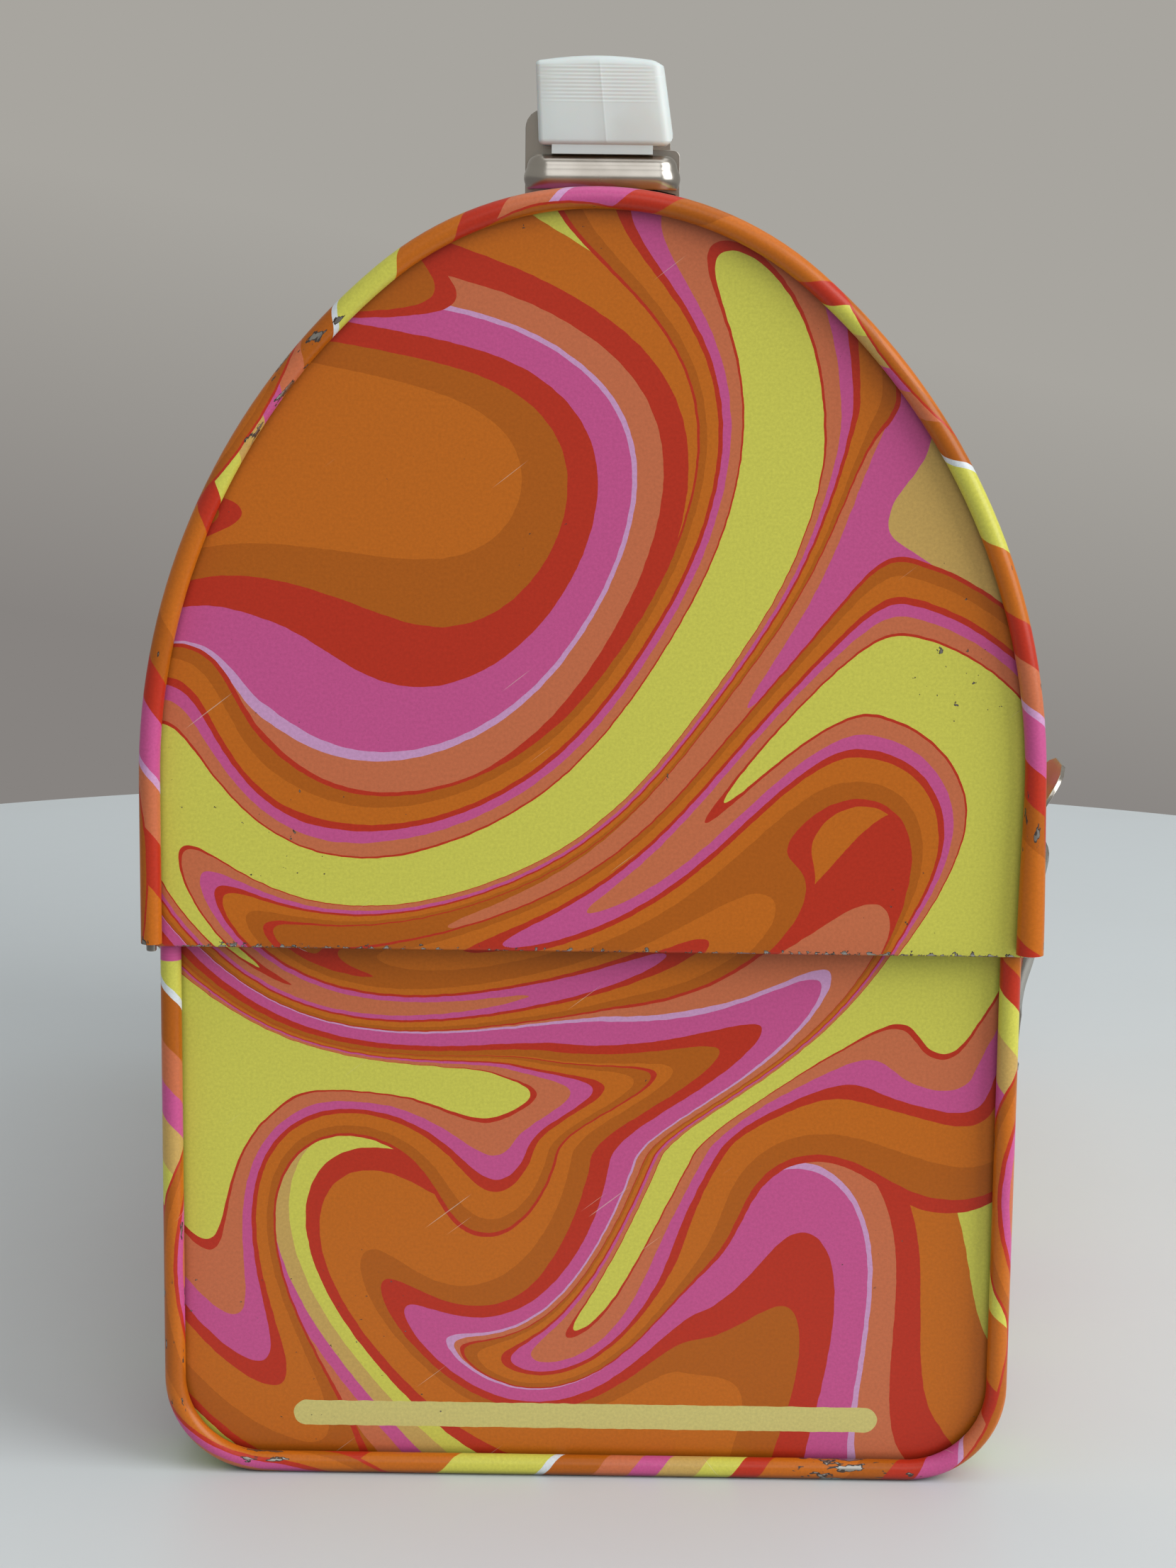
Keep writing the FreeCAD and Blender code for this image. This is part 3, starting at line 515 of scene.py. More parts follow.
@dataclass(frozen=True)
class StainedFinish:
    """A finish of one colour that turns to a stain in patches and in creases, with an uneven polish; in
    creases the stain is partly dirt and partly painted shade.
    """

    name: str
    colour: str
    stain: str
    roughness: float
    metallic: float = 0.0
    patch_size: float = 7.0
    patch_strength: float = 0.35
    crease: float = 1.5
    crease_stain_and_shade: float = 0.9
    grain: float = 2.5
    unevenness: float = 0.05
    subsurface: float = 0.0

    def make(self) -> bpy.types.Material:
        """Build the material."""
        material, tree, shader = new_material(self.name)
        shader.inputs["Metallic"].default_value = self.metallic
        shader.inputs["Subsurface Weight"].default_value = self.subsurface
        place = add_node(tree, "ShaderNodeTexCoord").outputs["Object"]
        patches = add_node(
            tree, "ShaderNodeTexNoise", {"Vector": place, "Scale": 1 / (self.patch_size * MM), "Detail": 2.0}
        )
        patchy = add_node(
            tree, "ShaderNodeMapRange",
            {"Value": patches.outputs["Fac"], "From Min": 0.45, "From Max": 0.75, "To Min": 0.0,
             "To Max": self.patch_strength},
        )
        # Partly painted shade: in creases that the ambient occlusion finds, the colour is pulled towards the
        # stain, both as dirt and as the shade that falls there
        sky = add_node(tree, "ShaderNodeAmbientOcclusion", {"Distance": self.crease * MM}, samples=6)
        stain_and_crease_shade = add_node(
            tree, "ShaderNodeMapRange",
            {"Value": sky.outputs["AO"], "From Min": 0.2, "From Max": 0.7,
             "To Min": self.crease_stain_and_shade, "To Max": patchy.outputs["Result"]},
        )
        colour = add_node(
            tree, "ShaderNodeMix",
            {"Factor": stain_and_crease_shade.outputs["Result"], "A": linear(self.colour), "B": linear(self.stain)},
            data_type="RGBA",
        )
        noise = add_node(
            tree, "ShaderNodeTexNoise", {"Vector": place, "Scale": 1 / (self.grain * MM), "Detail": 2.0}
        )
        rough = add_node(
            tree, "ShaderNodeMapRange",
            {"Value": noise.outputs["Fac"], "To Min": self.roughness - self.unevenness,
             "To Max": self.roughness + self.unevenness},
        )
        tree.links.new(colour.outputs["Result"], shader.inputs["Base Color"])
        tree.links.new(rough.outputs["Result"], shader.inputs["Roughness"])
        return material


# A warm clear coat over tin: a soft dull mirror inside the box
LACQUER = StainedFinish("lacquered_tinplate", "#b9b3a4", "#9a917f", 0.34, metallic=0.75, patch_size=8.0)
# Thin old plating: a cool grey shine that dulls to brown where hands do not reach; in its creases the brown
# is partly painted shade
NICKEL = StainedFinish("nickel_plated_steel", "#b5b1aa", "#756a60", 0.25, metallic=1.0)
# Rivet heads worn dull by hands and dirt
RIVET_STEEL = StainedFinish("dull_plated_rivet_steel", "#9d9a94", "#5d5148", 0.36, metallic=1.0)
# Bright drawn wire with a faint grain
DRAWN_WIRE = StainedFinish("drawn_steel_wire", "#a09e99", "#655b52", 0.32, metallic=1.0)
# Milky plastic that lets a little light in and holds brown dirt in its corners
MOULDED_GRIP = StainedFinish(
    "moulded_polyethylene", "#d0d9d7", "#a98f6f", 0.38, patch_size=9.0, patch_strength=0.16, crease=1.2,
    subsurface=0.12)
# An even pale top with a faint sheen, so the box's own soft shadow reads
TABLE_PAINT = StainedFinish(
    "satin_table_paint", "#d3d9da", "#cfd4d4", 0.45, patch_size=60.0, crease=0.5, grain=4.0, unevenness=0.04)


@dataclass(frozen=True)
class Station:
    """A place on a bent line: where it is, which way is out, and how far along, in millimetres."""

    place: Pair
    out: Pair
    run: float

    def at(self, depth: float) -> Pair:
        """The place moved inwards by a depth."""
        return self.place[0] - self.out[0] * depth, self.place[1] - self.out[1] * depth


def straight(start: Pair, end: Pair, out: Pair, run: float, count: int) -> List[Station]:
    """Stations along a straight stretch.

    Args:
        start: First place.
        end: Last place.
        out: Outward direction.
        run: Distance already covered.
        count: How many steps.

    Returns:
        The stations, first and last included.
    """
    first, last = Vector(start), Vector(end)
    length = (last - first).length
    parts = [step / count for step in range(count + 1)]
    return [Station(tuple(first.lerp(last, part)), out, run + length * part) for part in parts]


def bend(centre: Pair, radius: float, first: float, last: float, run: float, count: int) -> List[Station]:
    """Stations along an arc.

    Args:
        centre: Middle of the arc.
        radius: The arc's radius.
        first: First angle in degrees, from the first axis towards the second.
        last: Last angle in degrees.
        run: Distance already covered.
        count: How many steps.

    Returns:
        The stations, without the first.
    """
    made = []
    for step in range(1, count + 1):
        angle = math.radians(first + (last - first) * step / count)
        out = (math.cos(angle), math.sin(angle))
        covered = run + math.radians(abs(last - first)) * radius * step / count
        made.append(Station((centre[0] + radius * out[0], centre[1] + radius * out[1]), out, covered))
    return made


def rounded_loop(
    corners: Sequence[Pair], radii: Sequence[float], counts: Sequence[int], steps: int
) -> List[Pair]:
    """A closed outline with rounded corners.

    Args:
        corners: Corner places in order.
        radii: The radius of each corner.
        counts: Segments of the straight stretch after each corner.
        steps: Segments in each rounded corner.

    Returns:
        The outline's points.
    """
    arcs = []
    for place, corner in enumerate(corners):
        middle = Vector(corner)
        back = (Vector(corners[place - 1]) - middle).normalized()
        ahead = (Vector(corners[(place + 1) % len(corners)]) - middle).normalized()
        half = back.angle(ahead) / 2
        reach = radii[place] / math.tan(half)
        centre = middle + (back + ahead).normalized() * (radii[place] / math.sin(half))
        first, last = middle + back * reach - centre, middle + ahead * reach - centre
        arcs.append([
            centre + first.lerp(last, step / steps).normalized() * radii[place] for step in range(steps + 1)
        ])
    made = []
    for place, arc in enumerate(arcs):
        made += arc
        start, stop = arc[-1], arcs[(place + 1) % len(arcs)][0]
        made += [start.lerp(stop, step / counts[place]) for step in range(1, counts[place])]
    return [tuple(point) for point in made]


@dataclass
class Draft:
    """Points and faces of a piece while it is drawn, in millimetres."""

    points: List[Point] = field(default_factory=list)
    faces: List[List[int]] = field(default_factory=list)
    prints: List[List[Pair]] = field(default_factory=list)
    slots: List[int] = field(default_factory=list)

    def skin(self, rings: Sequence[Sequence[Point]]) -> int:
        """Join a row of closed rings into a tube with both ends filled.

        Args:
            rings: The rings, each with as many points.

        Returns:
            How many faces were added: the tube's, ring by ring, then the two ends.
        """
        base, count = len(self.points), len(rings[0])
        before = len(self.faces)
        for ring in rings:
            self.points += ring
        for row in range(len(rings) - 1):
            here, there = base + row * count, base + (row + 1) * count
            for place in range(count):
                other = (place + 1) % count
                self.faces.append([here + place, here + other, there + other, there + place])
        self.faces.append([base + place for place in reversed(range(count))])
        self.faces.append([base + (len(rings) - 1) * count + place for place in range(count)])
        return len(self.faces) - before

    def box(self, low: Point, high: Point) -> None:
        """Add a box between two corners."""
        ends = [(low[0], low[1]), (high[0], low[1]), (high[0], high[1]), (low[0], high[1])]
        self.skin([[(x, y, z) for x, y in ends] for z in (low[2], high[2])])

    def finish(
        self, name: str, finishes: Sequence[bpy.types.Material], smooth: float = 35.0
    ) -> bpy.types.Object:
        """Make the mesh object.

        Args:
            name: The piece's name.
            finishes: Its materials, by slot.
            smooth: The angle in degrees above which an edge stays sharp.

        Returns:
            The object, linked to the scene.
        """
        mesh = bpy.data.meshes.new(name)
        mesh.from_pydata([[value * MM for value in point] for point in self.points], [], self.faces)
        if self.prints:
            layer = mesh.uv_layers.new(name=PRINT_MAP)
            layer.data.foreach_set("uv", [value for face in self.prints for pair in face for value in pair])
        if self.slots:
            mesh.polygons.foreach_set("material_index", self.slots)
        net = bmesh.new()
        net.from_mesh(mesh)
        bmesh.ops.recalc_face_normals(net, faces=net.faces)
        net.to_mesh(mesh)
        net.free()
        mesh.polygons.foreach_set("use_smooth", [True] * len(mesh.polygons))
        mesh.set_sharp_from_angle(angle=math.radians(smooth))
        for material in finishes:
            mesh.materials.append(material)
        piece = bpy.data.objects.new(name, mesh)
        bpy.context.scene.collection.objects.link(piece)
        return piece


def box_of(node: str) -> Tuple[Vector, Vector]:
    """Lowest and highest corner of a CAD node in millimetres."""
    low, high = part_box(node)
    return low / MM, high / MM


def settle(piece: bpy.types.Object, body: str, slot: str, *nodes: str) -> bpy.types.Object:
    """Tie a piece to its body and hide the nodes that it stands for.

    Args:
        piece: The finished piece.
        body: The CAD body that it moves with.
        slot: The record's material slot; not used.
        *nodes: The CAD nodes that it replaces.

    Returns:
        The piece.
    """
    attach(piece, body)
    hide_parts(*nodes)
    LOG.info("%s: %d faces on %s", piece.name, len(piece.data.polygons), body)
    return piece


def round_edges(piece: bpy.types.Object, width: float, angle: float) -> None:
    """Round a piece's sharp edges.

    Args:
        piece: The piece.
        width: Width of the rounding in millimetres.
        angle: The angle in degrees above which an edge is rounded.
    """
    bevel = piece.modifiers.new("edge", "BEVEL")
    bevel.width = width * MM
    bevel.segments = 2
    bevel.limit_method = "ANGLE"
    bevel.angle_limit = math.radians(angle)
    piece.modifiers.new("shading", "WEIGHTED_NORMAL")


@dataclass
class SeamedWrap:
    """A sheet bent to the box's end view, with an edge curled round a wire at each end.

    The curl is wider over the first stretch by flare, as hands and the latch have spread it there.
    """

    name: str
    node: str
    body: str
    half_length: float
    stations: List[Station]
    finishes: Sequence[bpy.types.Material]
    beyond: Sequence[Station] = ()
    print_start: float = 0.0
    print_step: float = 1.0
    flare: float = 0.0
    flare_reach: float = 26.0
    sheet: float = 0.4
    bead: float = 1.35
    curl_turn: float = 300.0
    curl_steps: int = 20

    def curl(self, end: End, radius: float) -> List[Tuple[float, float, float]]:
        """Go round one curl from the sheet to its tip.

        Args:
            end: The end of the box.
            radius: Radius of the curl's face.

        Returns:
            Points with their place along X, their depth and their place on the print.
        """
        middle = self.half_length - self.bead
        steps = [step / self.curl_steps for step in range(self.curl_steps + 1)]
        turns = [math.radians(-90 + self.curl_turn * part) for part in steps]
        return [
            (end.value * (middle + radius * math.cos(turn)), self.bead + radius * math.sin(turn),
             end.value * (middle + self.bead * (turn + math.pi / 2)))
            for turn in turns
        ]

    def section(self, run: float) -> List[Tuple[float, float, float]]:
        """Cut through the sheet.

        Args:
            run: Distance along the sheet.

        Returns:
            A closed loop of points as curl gives them.
        """
        near = max(0.0, 1 - run / self.flare_reach)
        outer = self.bead * (1 + self.flare * near * near * (3 - 2 * near))
        inner = outer - self.sheet
        outside = self.curl(End.LEFT, outer)[::-1] + self.curl(End.RIGHT, outer)
        inside = self.curl(End.RIGHT, inner)[::-1] + self.curl(End.LEFT, inner)
        return outside + inside

    def build(self) -> bpy.types.Object:
        """Carry the section along the stations and lay the print on its outer side.

        Returns:
            The wrap.
        """
        draft = Draft()
        draft.skin([
            [(x, *station.at(depth)) for x, depth, _ in self.section(station.run)]
            for station in self.stations
        ])
        along = [place for _, _, place in self.section(0.0)]
        count, outside = len(along), len(along) // 2 - 1
        runs = [self.print_start + self.print_step * station.run for station in self.stations]
        for run, after in zip(runs, runs[1:]):
            for place in range(count):
                here, there = along[place], along[(place + 1) % count]
                draft.prints.append([(here, run), (there, run), (there, after), (here, after)])
                draft.slots.append(0 if place < outside else 1)
        for run, order in ((runs[0], along[::-1]), (runs[-1], along)):
            draft.prints.append([(place, run) for place in order])
            draft.slots.append(1)
        for end in End if self.beyond else ():
            ring = self.curl(end, self.bead) + self.curl(end, self.bead - self.sheet)[::-1]
            rings = [[(x, *station.at(depth)) for x, depth, _ in ring] for station in self.beyond]
            added = draft.skin(rings)
            edge = end.value * self.half_length
            for face in draft.faces[-added:]:
                draft.prints.append([(edge, draft.points[corner][2]) for corner in face])
                draft.slots.append(0)
        piece = draft.finish(self.name, self.finishes)
        return settle(piece, self.body, "printed_tinplate", self.node)


@dataclass
class EndPanel:
    """A flat printed end, set behind its seam, whose free edge can be folded over."""

    name: str
    node: str
    body: str
    end: End
    outline: List[Pair]
    finishes: Sequence[bpy.types.Material]
    hem_steps: int = 0
    hem_drop: float = 0.0

    def build(self) -> bpy.types.Object:
        """Draw the panel in layers from the outer to the inner face; a folded edge bulges between them.

        Returns:
            The panel.
        """
        low, high = box_of(self.node)
        outer, inner = (low.x, high.x) if self.end is End.LEFT else (high.x, low.x)
        radius = (high.x - low.x) / 2
        edge = min(z for _, z in self.outline)
        draft = Draft()
        layers = self.hem_steps or 1
        rings = []
        for step in range(layers + 1):
            turn = math.pi * step / layers
            x = (outer + inner) / 2 + (outer - inner) / 2 * math.cos(turn)
            rise = radius * (1 - math.sin(turn)) - self.hem_drop if self.hem_steps else 0.0
            rings.append([(x, y, z + rise if z - edge < radius else z) for y, z in self.outline])
        draft.skin(rings)
        side = self.end.value
        draft.prints = [[(side * draft.points[corner][1], draft.points[corner][2]) for corner in face]
                        for face in draft.faces]
        draft.slots = [0] * len(draft.faces)
        draft.slots[-1] = 1
        piece = draft.finish(self.name, self.finishes)
        return settle(piece, self.body, "printed_tinplate", self.node)


@dataclass
class LunchBoxSheets:
    """The printed sheets of the lid and the body."""

    spring_z: float = 93.0
    crown_radius: float = 42.3
    corner_radius: float = 13.0
    panel_inset: float = 0.45
    hinge_gap: float = 0.3
    curl_rise: float = 6.0

    def lid_stations(self, inset: float) -> List[Station]:
        """Go over the lid from the front skirt to the back skirt.

        Args:
            inset: Distance in from the lid's outer face.

        Returns:
            The stations.
        """
        low, high = box_of("lid_shell")
        rise = high.z - self.spring_z
        side = (high.y ** 2 + rise ** 2 - 2 * rise * self.crown_radius) / (2 * (high.y - self.crown_radius))
        offset, crown_z = side - high.y, high.z - self.crown_radius
        turn = math.degrees(math.atan2(crown_z - self.spring_z, offset))
        half, radius, crown = high.y - inset, side - inset, self.crown_radius - inset
        made = straight((-half, low.z), (-half, self.spring_z), (-1, 0), 0.0, 12)
        made += bend((offset, self.spring_z), radius, 180, 180 - turn, made[-1].run, 32)
        made += bend((0, crown_z), crown, 180 - turn, turn, made[-1].run, 32)
        made += bend((-offset, self.spring_z), radius, turn, 0, made[-1].run, 32)
        made += straight((half, self.spring_z), (half, low.z), (1, 0), made[-1].run, 6)[1:]
        return made

    def body_stations(self, inset: float, back_z: float) -> List[Station]:
        """Go round the body from the front rim under the base to the back.

        Args:
            inset: Distance in from the body's outer face.
            back_z: Height of the back edge.

        Returns:
            The stations.
        """
        low, high = box_of("body_shell")
        half, base, rim = high.y - inset, low.z + inset, high.z
        radius = self.corner_radius - inset
        flat = half - radius
        bend_z = base + radius
        made = straight((-half, rim), (-half, bend_z), (-1, 0), 0.0, 8)
        made += bend((-flat, bend_z), radius, 180, 270, made[-1].run, 20)
        made += straight((-flat, base), (flat, base), (0, -1), made[-1].run, 8)[1:]
        made += bend((flat, bend_z), radius, 270, 360, made[-1].run, 20)
        made += straight((half, bend_z), (half, back_z), (1, 0), made[-1].run, 8)[1:]
        return made

    def build(self) -> None:
        """Make both wraps and all four ends."""
        lid_low, lid_high = box_of("lid_shell")
        _, body_high = box_of("body_shell")
        inside = LACQUER.make()
        ends = PrintDesign(
            eddies=(Eddy((-24, 112), 62, 150), Eddy((27, 88), 52, -140), Eddy((-14, 34), 46, 160),
                    Eddy((30, 26), 40, -130)),
            repeat=118.0, strip=BareStrip((0.0, 7.6), 77.0, 3.4))
        wraps = PrintDesign(
            eddies=(Eddy((-46, 150), 58, 150), Eddy((42, 110), 58, -140), Eddy((10, 210), 66, 150),
                    Eddy((-52, 40), 54, -140), Eddy((54, 10), 54, 140), Eddy((-20, -50), 48, 150),
                    Eddy((30, -160), 60, -140), Eddy((-40, -230), 56, 140)),
            slant=50.0, repeat=76.0, wander=16.0, drop_spacing=29.0, seed=2.5)
        lid_end_print = PrintedTinplate(
            "printed_tinplate_lid_ends", ends, (lid_low.z + 0.3, lid_low.z - 0.8), 0.31, by_height=True,
            chip_size=1.1).make()
        body_end_print = PrintedTinplate(
            "printed_tinplate_body_ends", ends, (body_high.z, body_high.z + 1.0), 0.2, by_height=True,
            chip_size=1.1).make()
        lid_run = self.lid_stations(0.0)[-1].run
        lid_wrap_print = PrintedTinplate(
            "printed_tinplate_lid_wrap", wraps, (lid_high.x - 4.0, lid_high.x + 6.0), 0.1, chip_size=1.5,
            chip_stretch=3.2,
            scuffs=(Scuff((-115, 168), 24, 0.135), Scuff((-115, 124), 2, 0.2), Scuff((-115, 14), 8, 0.15),
                    Scuff((-114, 0), 3, 0.2), Scuff((-114, lid_run), 1.6, 0.2), Scuff((114, 30), 12, 0.2),
                    Scuff((115, 140), 16, 0.2))).make()
        body_wrap_print = PrintedTinplate(
            "printed_tinplate_body_wrap", wraps, (body_high.x - 3.0, body_high.x + 6.0), 0.1, chip_size=1.5,
            chip_stretch=3.2,
            scuffs=(Scuff((-111, -88), 10, 0.2), Scuff((-111, -162), 9, 0.18),
                    Scuff((111, -82), 12, 0.2))).make()
        hinge_low, _ = box_of("hinge_lid_leaf")
        body_wrap = self.body_stations(0.0, hinge_low.z - self.hinge_gap)
        top_y, top_z = body_wrap[-1].place
        beyond = straight((top_y, top_z), (top_y, top_z + self.curl_rise), (1, 0), body_wrap[-1].run, 2)
        lid_outline = [place.place for place in self.lid_stations(self.panel_inset)]
        body_outline = [place.place for place in self.body_stations(self.panel_inset, body_high.z)]
        makers = [
            SeamedWrap("lid_wrap", "lid_shell", "lid", lid_high.x, self.lid_stations(0.0),
                       (lid_wrap_print, inside), flare=0.3),
            SeamedWrap("body_wrap", "body_shell", "body", body_high.x, body_wrap,
                       (body_wrap_print, inside), beyond, print_start=body_high.z - lid_low.z,
                       print_step=-1.0),
        ]
        for end in End:
            side = end.name.lower()
            makers.append(EndPanel("lid_panel_" + side, "lid_end_" + side, "lid", end, lid_outline,
                                   (lid_end_print, inside), hem_steps=8, hem_drop=0.8))
            makers.append(EndPanel("body_panel_" + side, "body_end_" + side, "body", end, body_outline,
                                   (body_end_print, inside)))
        for maker in makers:
            maker.build()


@dataclass
class Grip:
    """The moulded grip: an arch with a crowned top and ribbed ends, on a necked foot under each leg."""

    leg: float = 8.4
    bar: float = 5.6
    shoulder_z: float = 173.4
    sit: float = -0.6
    top_width: float = 17.6
    end_lean: float = 0.6
    skew: float = 1.2
    crown: float = 0.8
    outer_bend: float = 1.3
    inner_bend: float = 3.0
    shoulder_round: float = 0.7
    near_round: float = 1.7
    far_round: float = 0.7
    rib_low: float = 179.2
    rib_pitch: float = 0.52
    rib_height: float = 0.022
    mould_line: float = 0.05
    neck: Pair = (13.7, 4.6)
    collar: Pair = (14.0, 7.6)
    collar_z: float = 172.2
    foot: Pair = (17.4, 1.5)

    def outline(self, high: Vector, inset: float) -> List[Pair]:
        """Draw the arch seen from the side.

        Args:
            high: Highest corner of the grip's solid.
            inset: How far the outline is drawn in all round.

        Returns:
            Its points in X and Z.
        """
        inner, under = high.x - self.leg + inset, high.z - self.bar + inset
        outer, crest, foot = high.x - inset, high.z - inset, self.shoulder_z + inset
        top = outer - self.end_lean
        corners = [(-outer, foot), (-top, crest), (top, crest), (outer, foot),
                   (inner, foot), (inner, under), (-inner, under), (-inner, foot)]
        foot_round = max(self.shoulder_round - inset, 0.05)
        top_round = max(self.outer_bend - inset, 0.05)
        radii = [foot_round, top_round, top_round, foot_round, foot_round]
        radii += [self.inner_bend + inset] * 2 + [foot_round]
        fine = int(6 * (high.z - self.shoulder_z) / self.rib_pitch)
        return rounded_loop(corners, radii, [fine, 28, fine, 1, 1, 28, 1, 1], 8)

    def across(self, half: float) -> List[Pair]:
        """Step across the grip from the back to the front edge.

        Args:
            half: Half of the grip's width.

        Returns:
            Places in Y, each with its depth under the grip's surface.
        """
        turns = [math.radians(18 * step) for step in range(6)]
        far = [(half - self.far_round * (1 - math.cos(turn)), self.far_round * (1 - math.sin(turn)))
               for turn in turns]
        near = [(-half + self.near_round * (1 - math.cos(turn)), self.near_round * (1 - math.sin(turn)))
                for turn in turns]
        middle = [(half * part, 0.0) for part in (0.7, 0.45, 0.2)]
        middle += [(self.mould_line * step, 0.0) for step in (6, 2, 0, -2, -6)]
        middle += [(-half * part, 0.0) for part in (0.2, 0.45, 0.7)]
        return far + middle + near[::-1]

    def lift(self, x: float, z: float, y: float, half: float, out: Vector, top: float) -> float:
        """Work out the crown, the ribs and the mould's parting line.

        Args:
            x: The point's place along the box.
            z: Its height.
            y: Its place across the grip.
            half: Half of the grip's width.
            out: Outward direction there, in X and Z.
            top: Height of the grip's top.

        Returns:
            How far the point stands off the plain arch.
        """
        raised = -self.crown * (y / half) ** 2 * max(0.0, out.y) if z > top - self.bar / 2 else 0.0
        if abs(out.x) > 0.9 and abs(x) > self.leg * 6:
            fade = max(0.0, min(1.0, (half - 1.5 - abs(y)) / 1.5))
            if self.rib_low < z < top - self.outer_bend:
                wave = math.sin(2 * math.pi * (z - self.rib_low) / self.rib_pitch)
                raised += fade * self.rib_height * wave
            raised += self.mould_line * math.exp(-(y / self.mould_line / 3) ** 2)
        return raised

    def build(self) -> bpy.types.Object:
        """Skin the arch across its width and set the necks, collars and feet under it.

        Returns:
            The grip.
        """
        low, high = box_of("handle_grip")
        half = high.y
        draft, rings = Draft(), []
        for y, depth in self.across(half):
            loop = [Vector(point) for point in self.outline(high, depth)]
            ring = []
            for place, point in enumerate(loop):
                along = (loop[(place + 1) % len(loop)] - loop[place - 1]).normalized()
                out = Vector((-along.y, along.x))
                x, z = point + out * self.lift(point.x, point.y, y, half, out, high.z)
                part = (z - self.shoulder_z) / (high.z - self.shoulder_z)
                taper = 1 + (self.top_width / (2 * half) - 1) * part
                ring.append((x, y * taper + self.sit + self.skew * part, z))
            rings.append(ring)
        draft.skin(rings)
        for end in End:
            middle = end.value * (high.x - self.leg / 2)
            root = self.shoulder_z + self.shoulder_round
            for (width, thick), base, top in ((self.neck, low.z, root), (self.collar, self.collar_z, root),
                                              ((self.foot[0], self.neck[1]), low.z, low.z + self.foot[1])):
                draft.box((middle - thick / 2, -width / 2, base), (middle + thick / 2, width / 2, top))
        piece = draft.finish("moulded_grip", [MOULDED_GRIP.make()], 50.0)
        round_edges(piece, 0.35, 60.0)
        return settle(piece, "handle", "moulded_plastic", "handle_grip")


@dataclass
class HandleLoop:
    """A plated loop that holds one end of the grip: a base on the dome, a back plate and a rolled band."""

    end: End
    finish: bpy.types.Material
    crown_radius: float = 42.35
    crown_z: float = 167.3
    sheet: float = 0.9
    half_width: float = 10.45
    ear_width: float = 10.9
    corner: float = 3.0
    base_length: float = 13.0
    grip_leg: float = 8.8
    band_low: float = 167.4
    band_height: float = 4.7
    bulge: float = 0.45
    lip_round: float = 1.7
    lip_reach: float = 1.9
    short_ear_z: float = 173.0
    ear_round: float = 2.6

    def dome(self, y: float) -> float:
        """Height of the dome's face across the box."""
        return self.crown_z - self.crown_radius + math.sqrt(self.crown_radius ** 2 - y ** 2)

    def section(self) -> List[Pair]:
        """Cut through the band: a bulged face that rolls over into a lip.

        Returns:
            A closed loop of depths and heights.
        """
        steps = [step / 10 for step in range(11)]
        face_height = self.band_height - self.lip_round
        low, turn_z = self.band_low, self.band_low + face_height
        outer = [(-self.bulge * math.sin(math.pi * part), low + face_height * part) for part in steps]
        turns = [math.pi / 2 * part for part in steps[1:]]
        lip = [(self.lip_round * (1 - math.cos(turn)), turn_z + self.lip_round * math.sin(turn))
               for turn in turns]
        top, inside = low + self.band_height, self.lip_round - self.sheet
        inner = [(self.lip_reach, top), (self.lip_reach, top - self.sheet * 0.7)]
        inner += [(self.sheet + inside * (1 - math.cos(turn)), turn_z + inside * math.sin(turn))
                  for turn in turns[::-1]]
        return outer + lip + inner + [(self.sheet, low)]

    def build(self) -> bpy.types.Object:
        """Draw the base, the plate and the band.

        Returns:
            The loop.
        """
        node = "handle_bracket_" + self.end.name.lower()
        low, high = box_of(node)
        front = max(abs(low.x), abs(high.x))
        back = front - self.grip_leg - self.sheet
        ear, top, half, corner = self.ear_width, high.z, self.half_width, self.corner
        draft = Draft()
        path = straight((back, -half), (front - corner, -half), (0, -1), 0.0, 4)
        path += bend((front - corner, corner - half), corner, -90, 0, path[-1].run, 10)
        path += straight((front, corner - half), (front, half - corner), (1, 0), path[-1].run, 8)[1:]
        path += bend((front - corner, half - corner), corner, 0, 90, path[-1].run, 10)
        path += straight((front - corner, half), (back, half), (0, 1), path[-1].run, 4)[1:]
        draft.skin([[(*station.at(depth), z) for depth, z in self.section()] for station in path])
        plate = rounded_loop(
            [(-ear, self.dome(ear)), (ear, self.dome(ear)), (ear, top), (half * 0.55, top),
             (half * 0.55, self.short_ear_z), (-ear, self.short_ear_z)],
            [0.3, 0.3, self.ear_round, 1.0, 1.0, 1.0], [10, 1, 1, 1, 1, 1], 6)
        seated = [(y, max(z, self.dome(y))) for y, z in plate]
        draft.skin([[(x, y, z) for y, z in seated] for x in (back, back + self.sheet)])
        widths = [half * (step / 8 - 1) for step in range(17)]
        strip = [(y, self.dome(y)) for y in widths] + [(y, self.dome(y) + self.sheet) for y in widths[::-1]]
        draft.skin([[(x, y, z) for y, z in strip] for x in (back - self.base_length, back + self.sheet)])
        turn = 1 if self.end is End.RIGHT else -1
        draft.points = [(turn * x, -turn * y, z) for x, y, z in draft.points]
        piece = draft.finish("handle_loop_" + self.end.name.lower(), [self.finish])
        round_edges(piece, 0.15, 40.0)
        return settle(piece, "lid", "plated_steel", node)


def smooth_line(points: Sequence[Pair], steps: int) -> List[Station]:
    """A smooth line through a few places.

    Args:
        points: Places in order.
        steps: Steps from each place to the next.

    Returns:
        Stations whose outward side is on the right hand of the line's run.
    """
    knots = [Vector(point) for point in points]
    knots = [knots[0] * 2 - knots[1]] + knots + [knots[-1] * 2 - knots[-2]]
    places = []
    for before, start, stop, after in zip(knots, knots[1:], knots[2:], knots[3:]):
        for step in range(steps):
            part = step / steps
            pull = (stop - before) * part + (2 * before - 5 * start + 4 * stop - after) * part ** 2
            pull += (3 * start - before - 3 * stop + after) * part ** 3
            places.append(start + pull / 2)
    places.append(knots[-2])
    made, run = [], 0.0
    for place, point in enumerate(places):
        along = (places[min(place + 1, len(places) - 1)] - places[max(place - 1, 0)]).normalized()
        run += (point - places[place - 1]).length if place else 0.0
        made.append(Station(tuple(point), (along.y, -along.x), run))
    return made


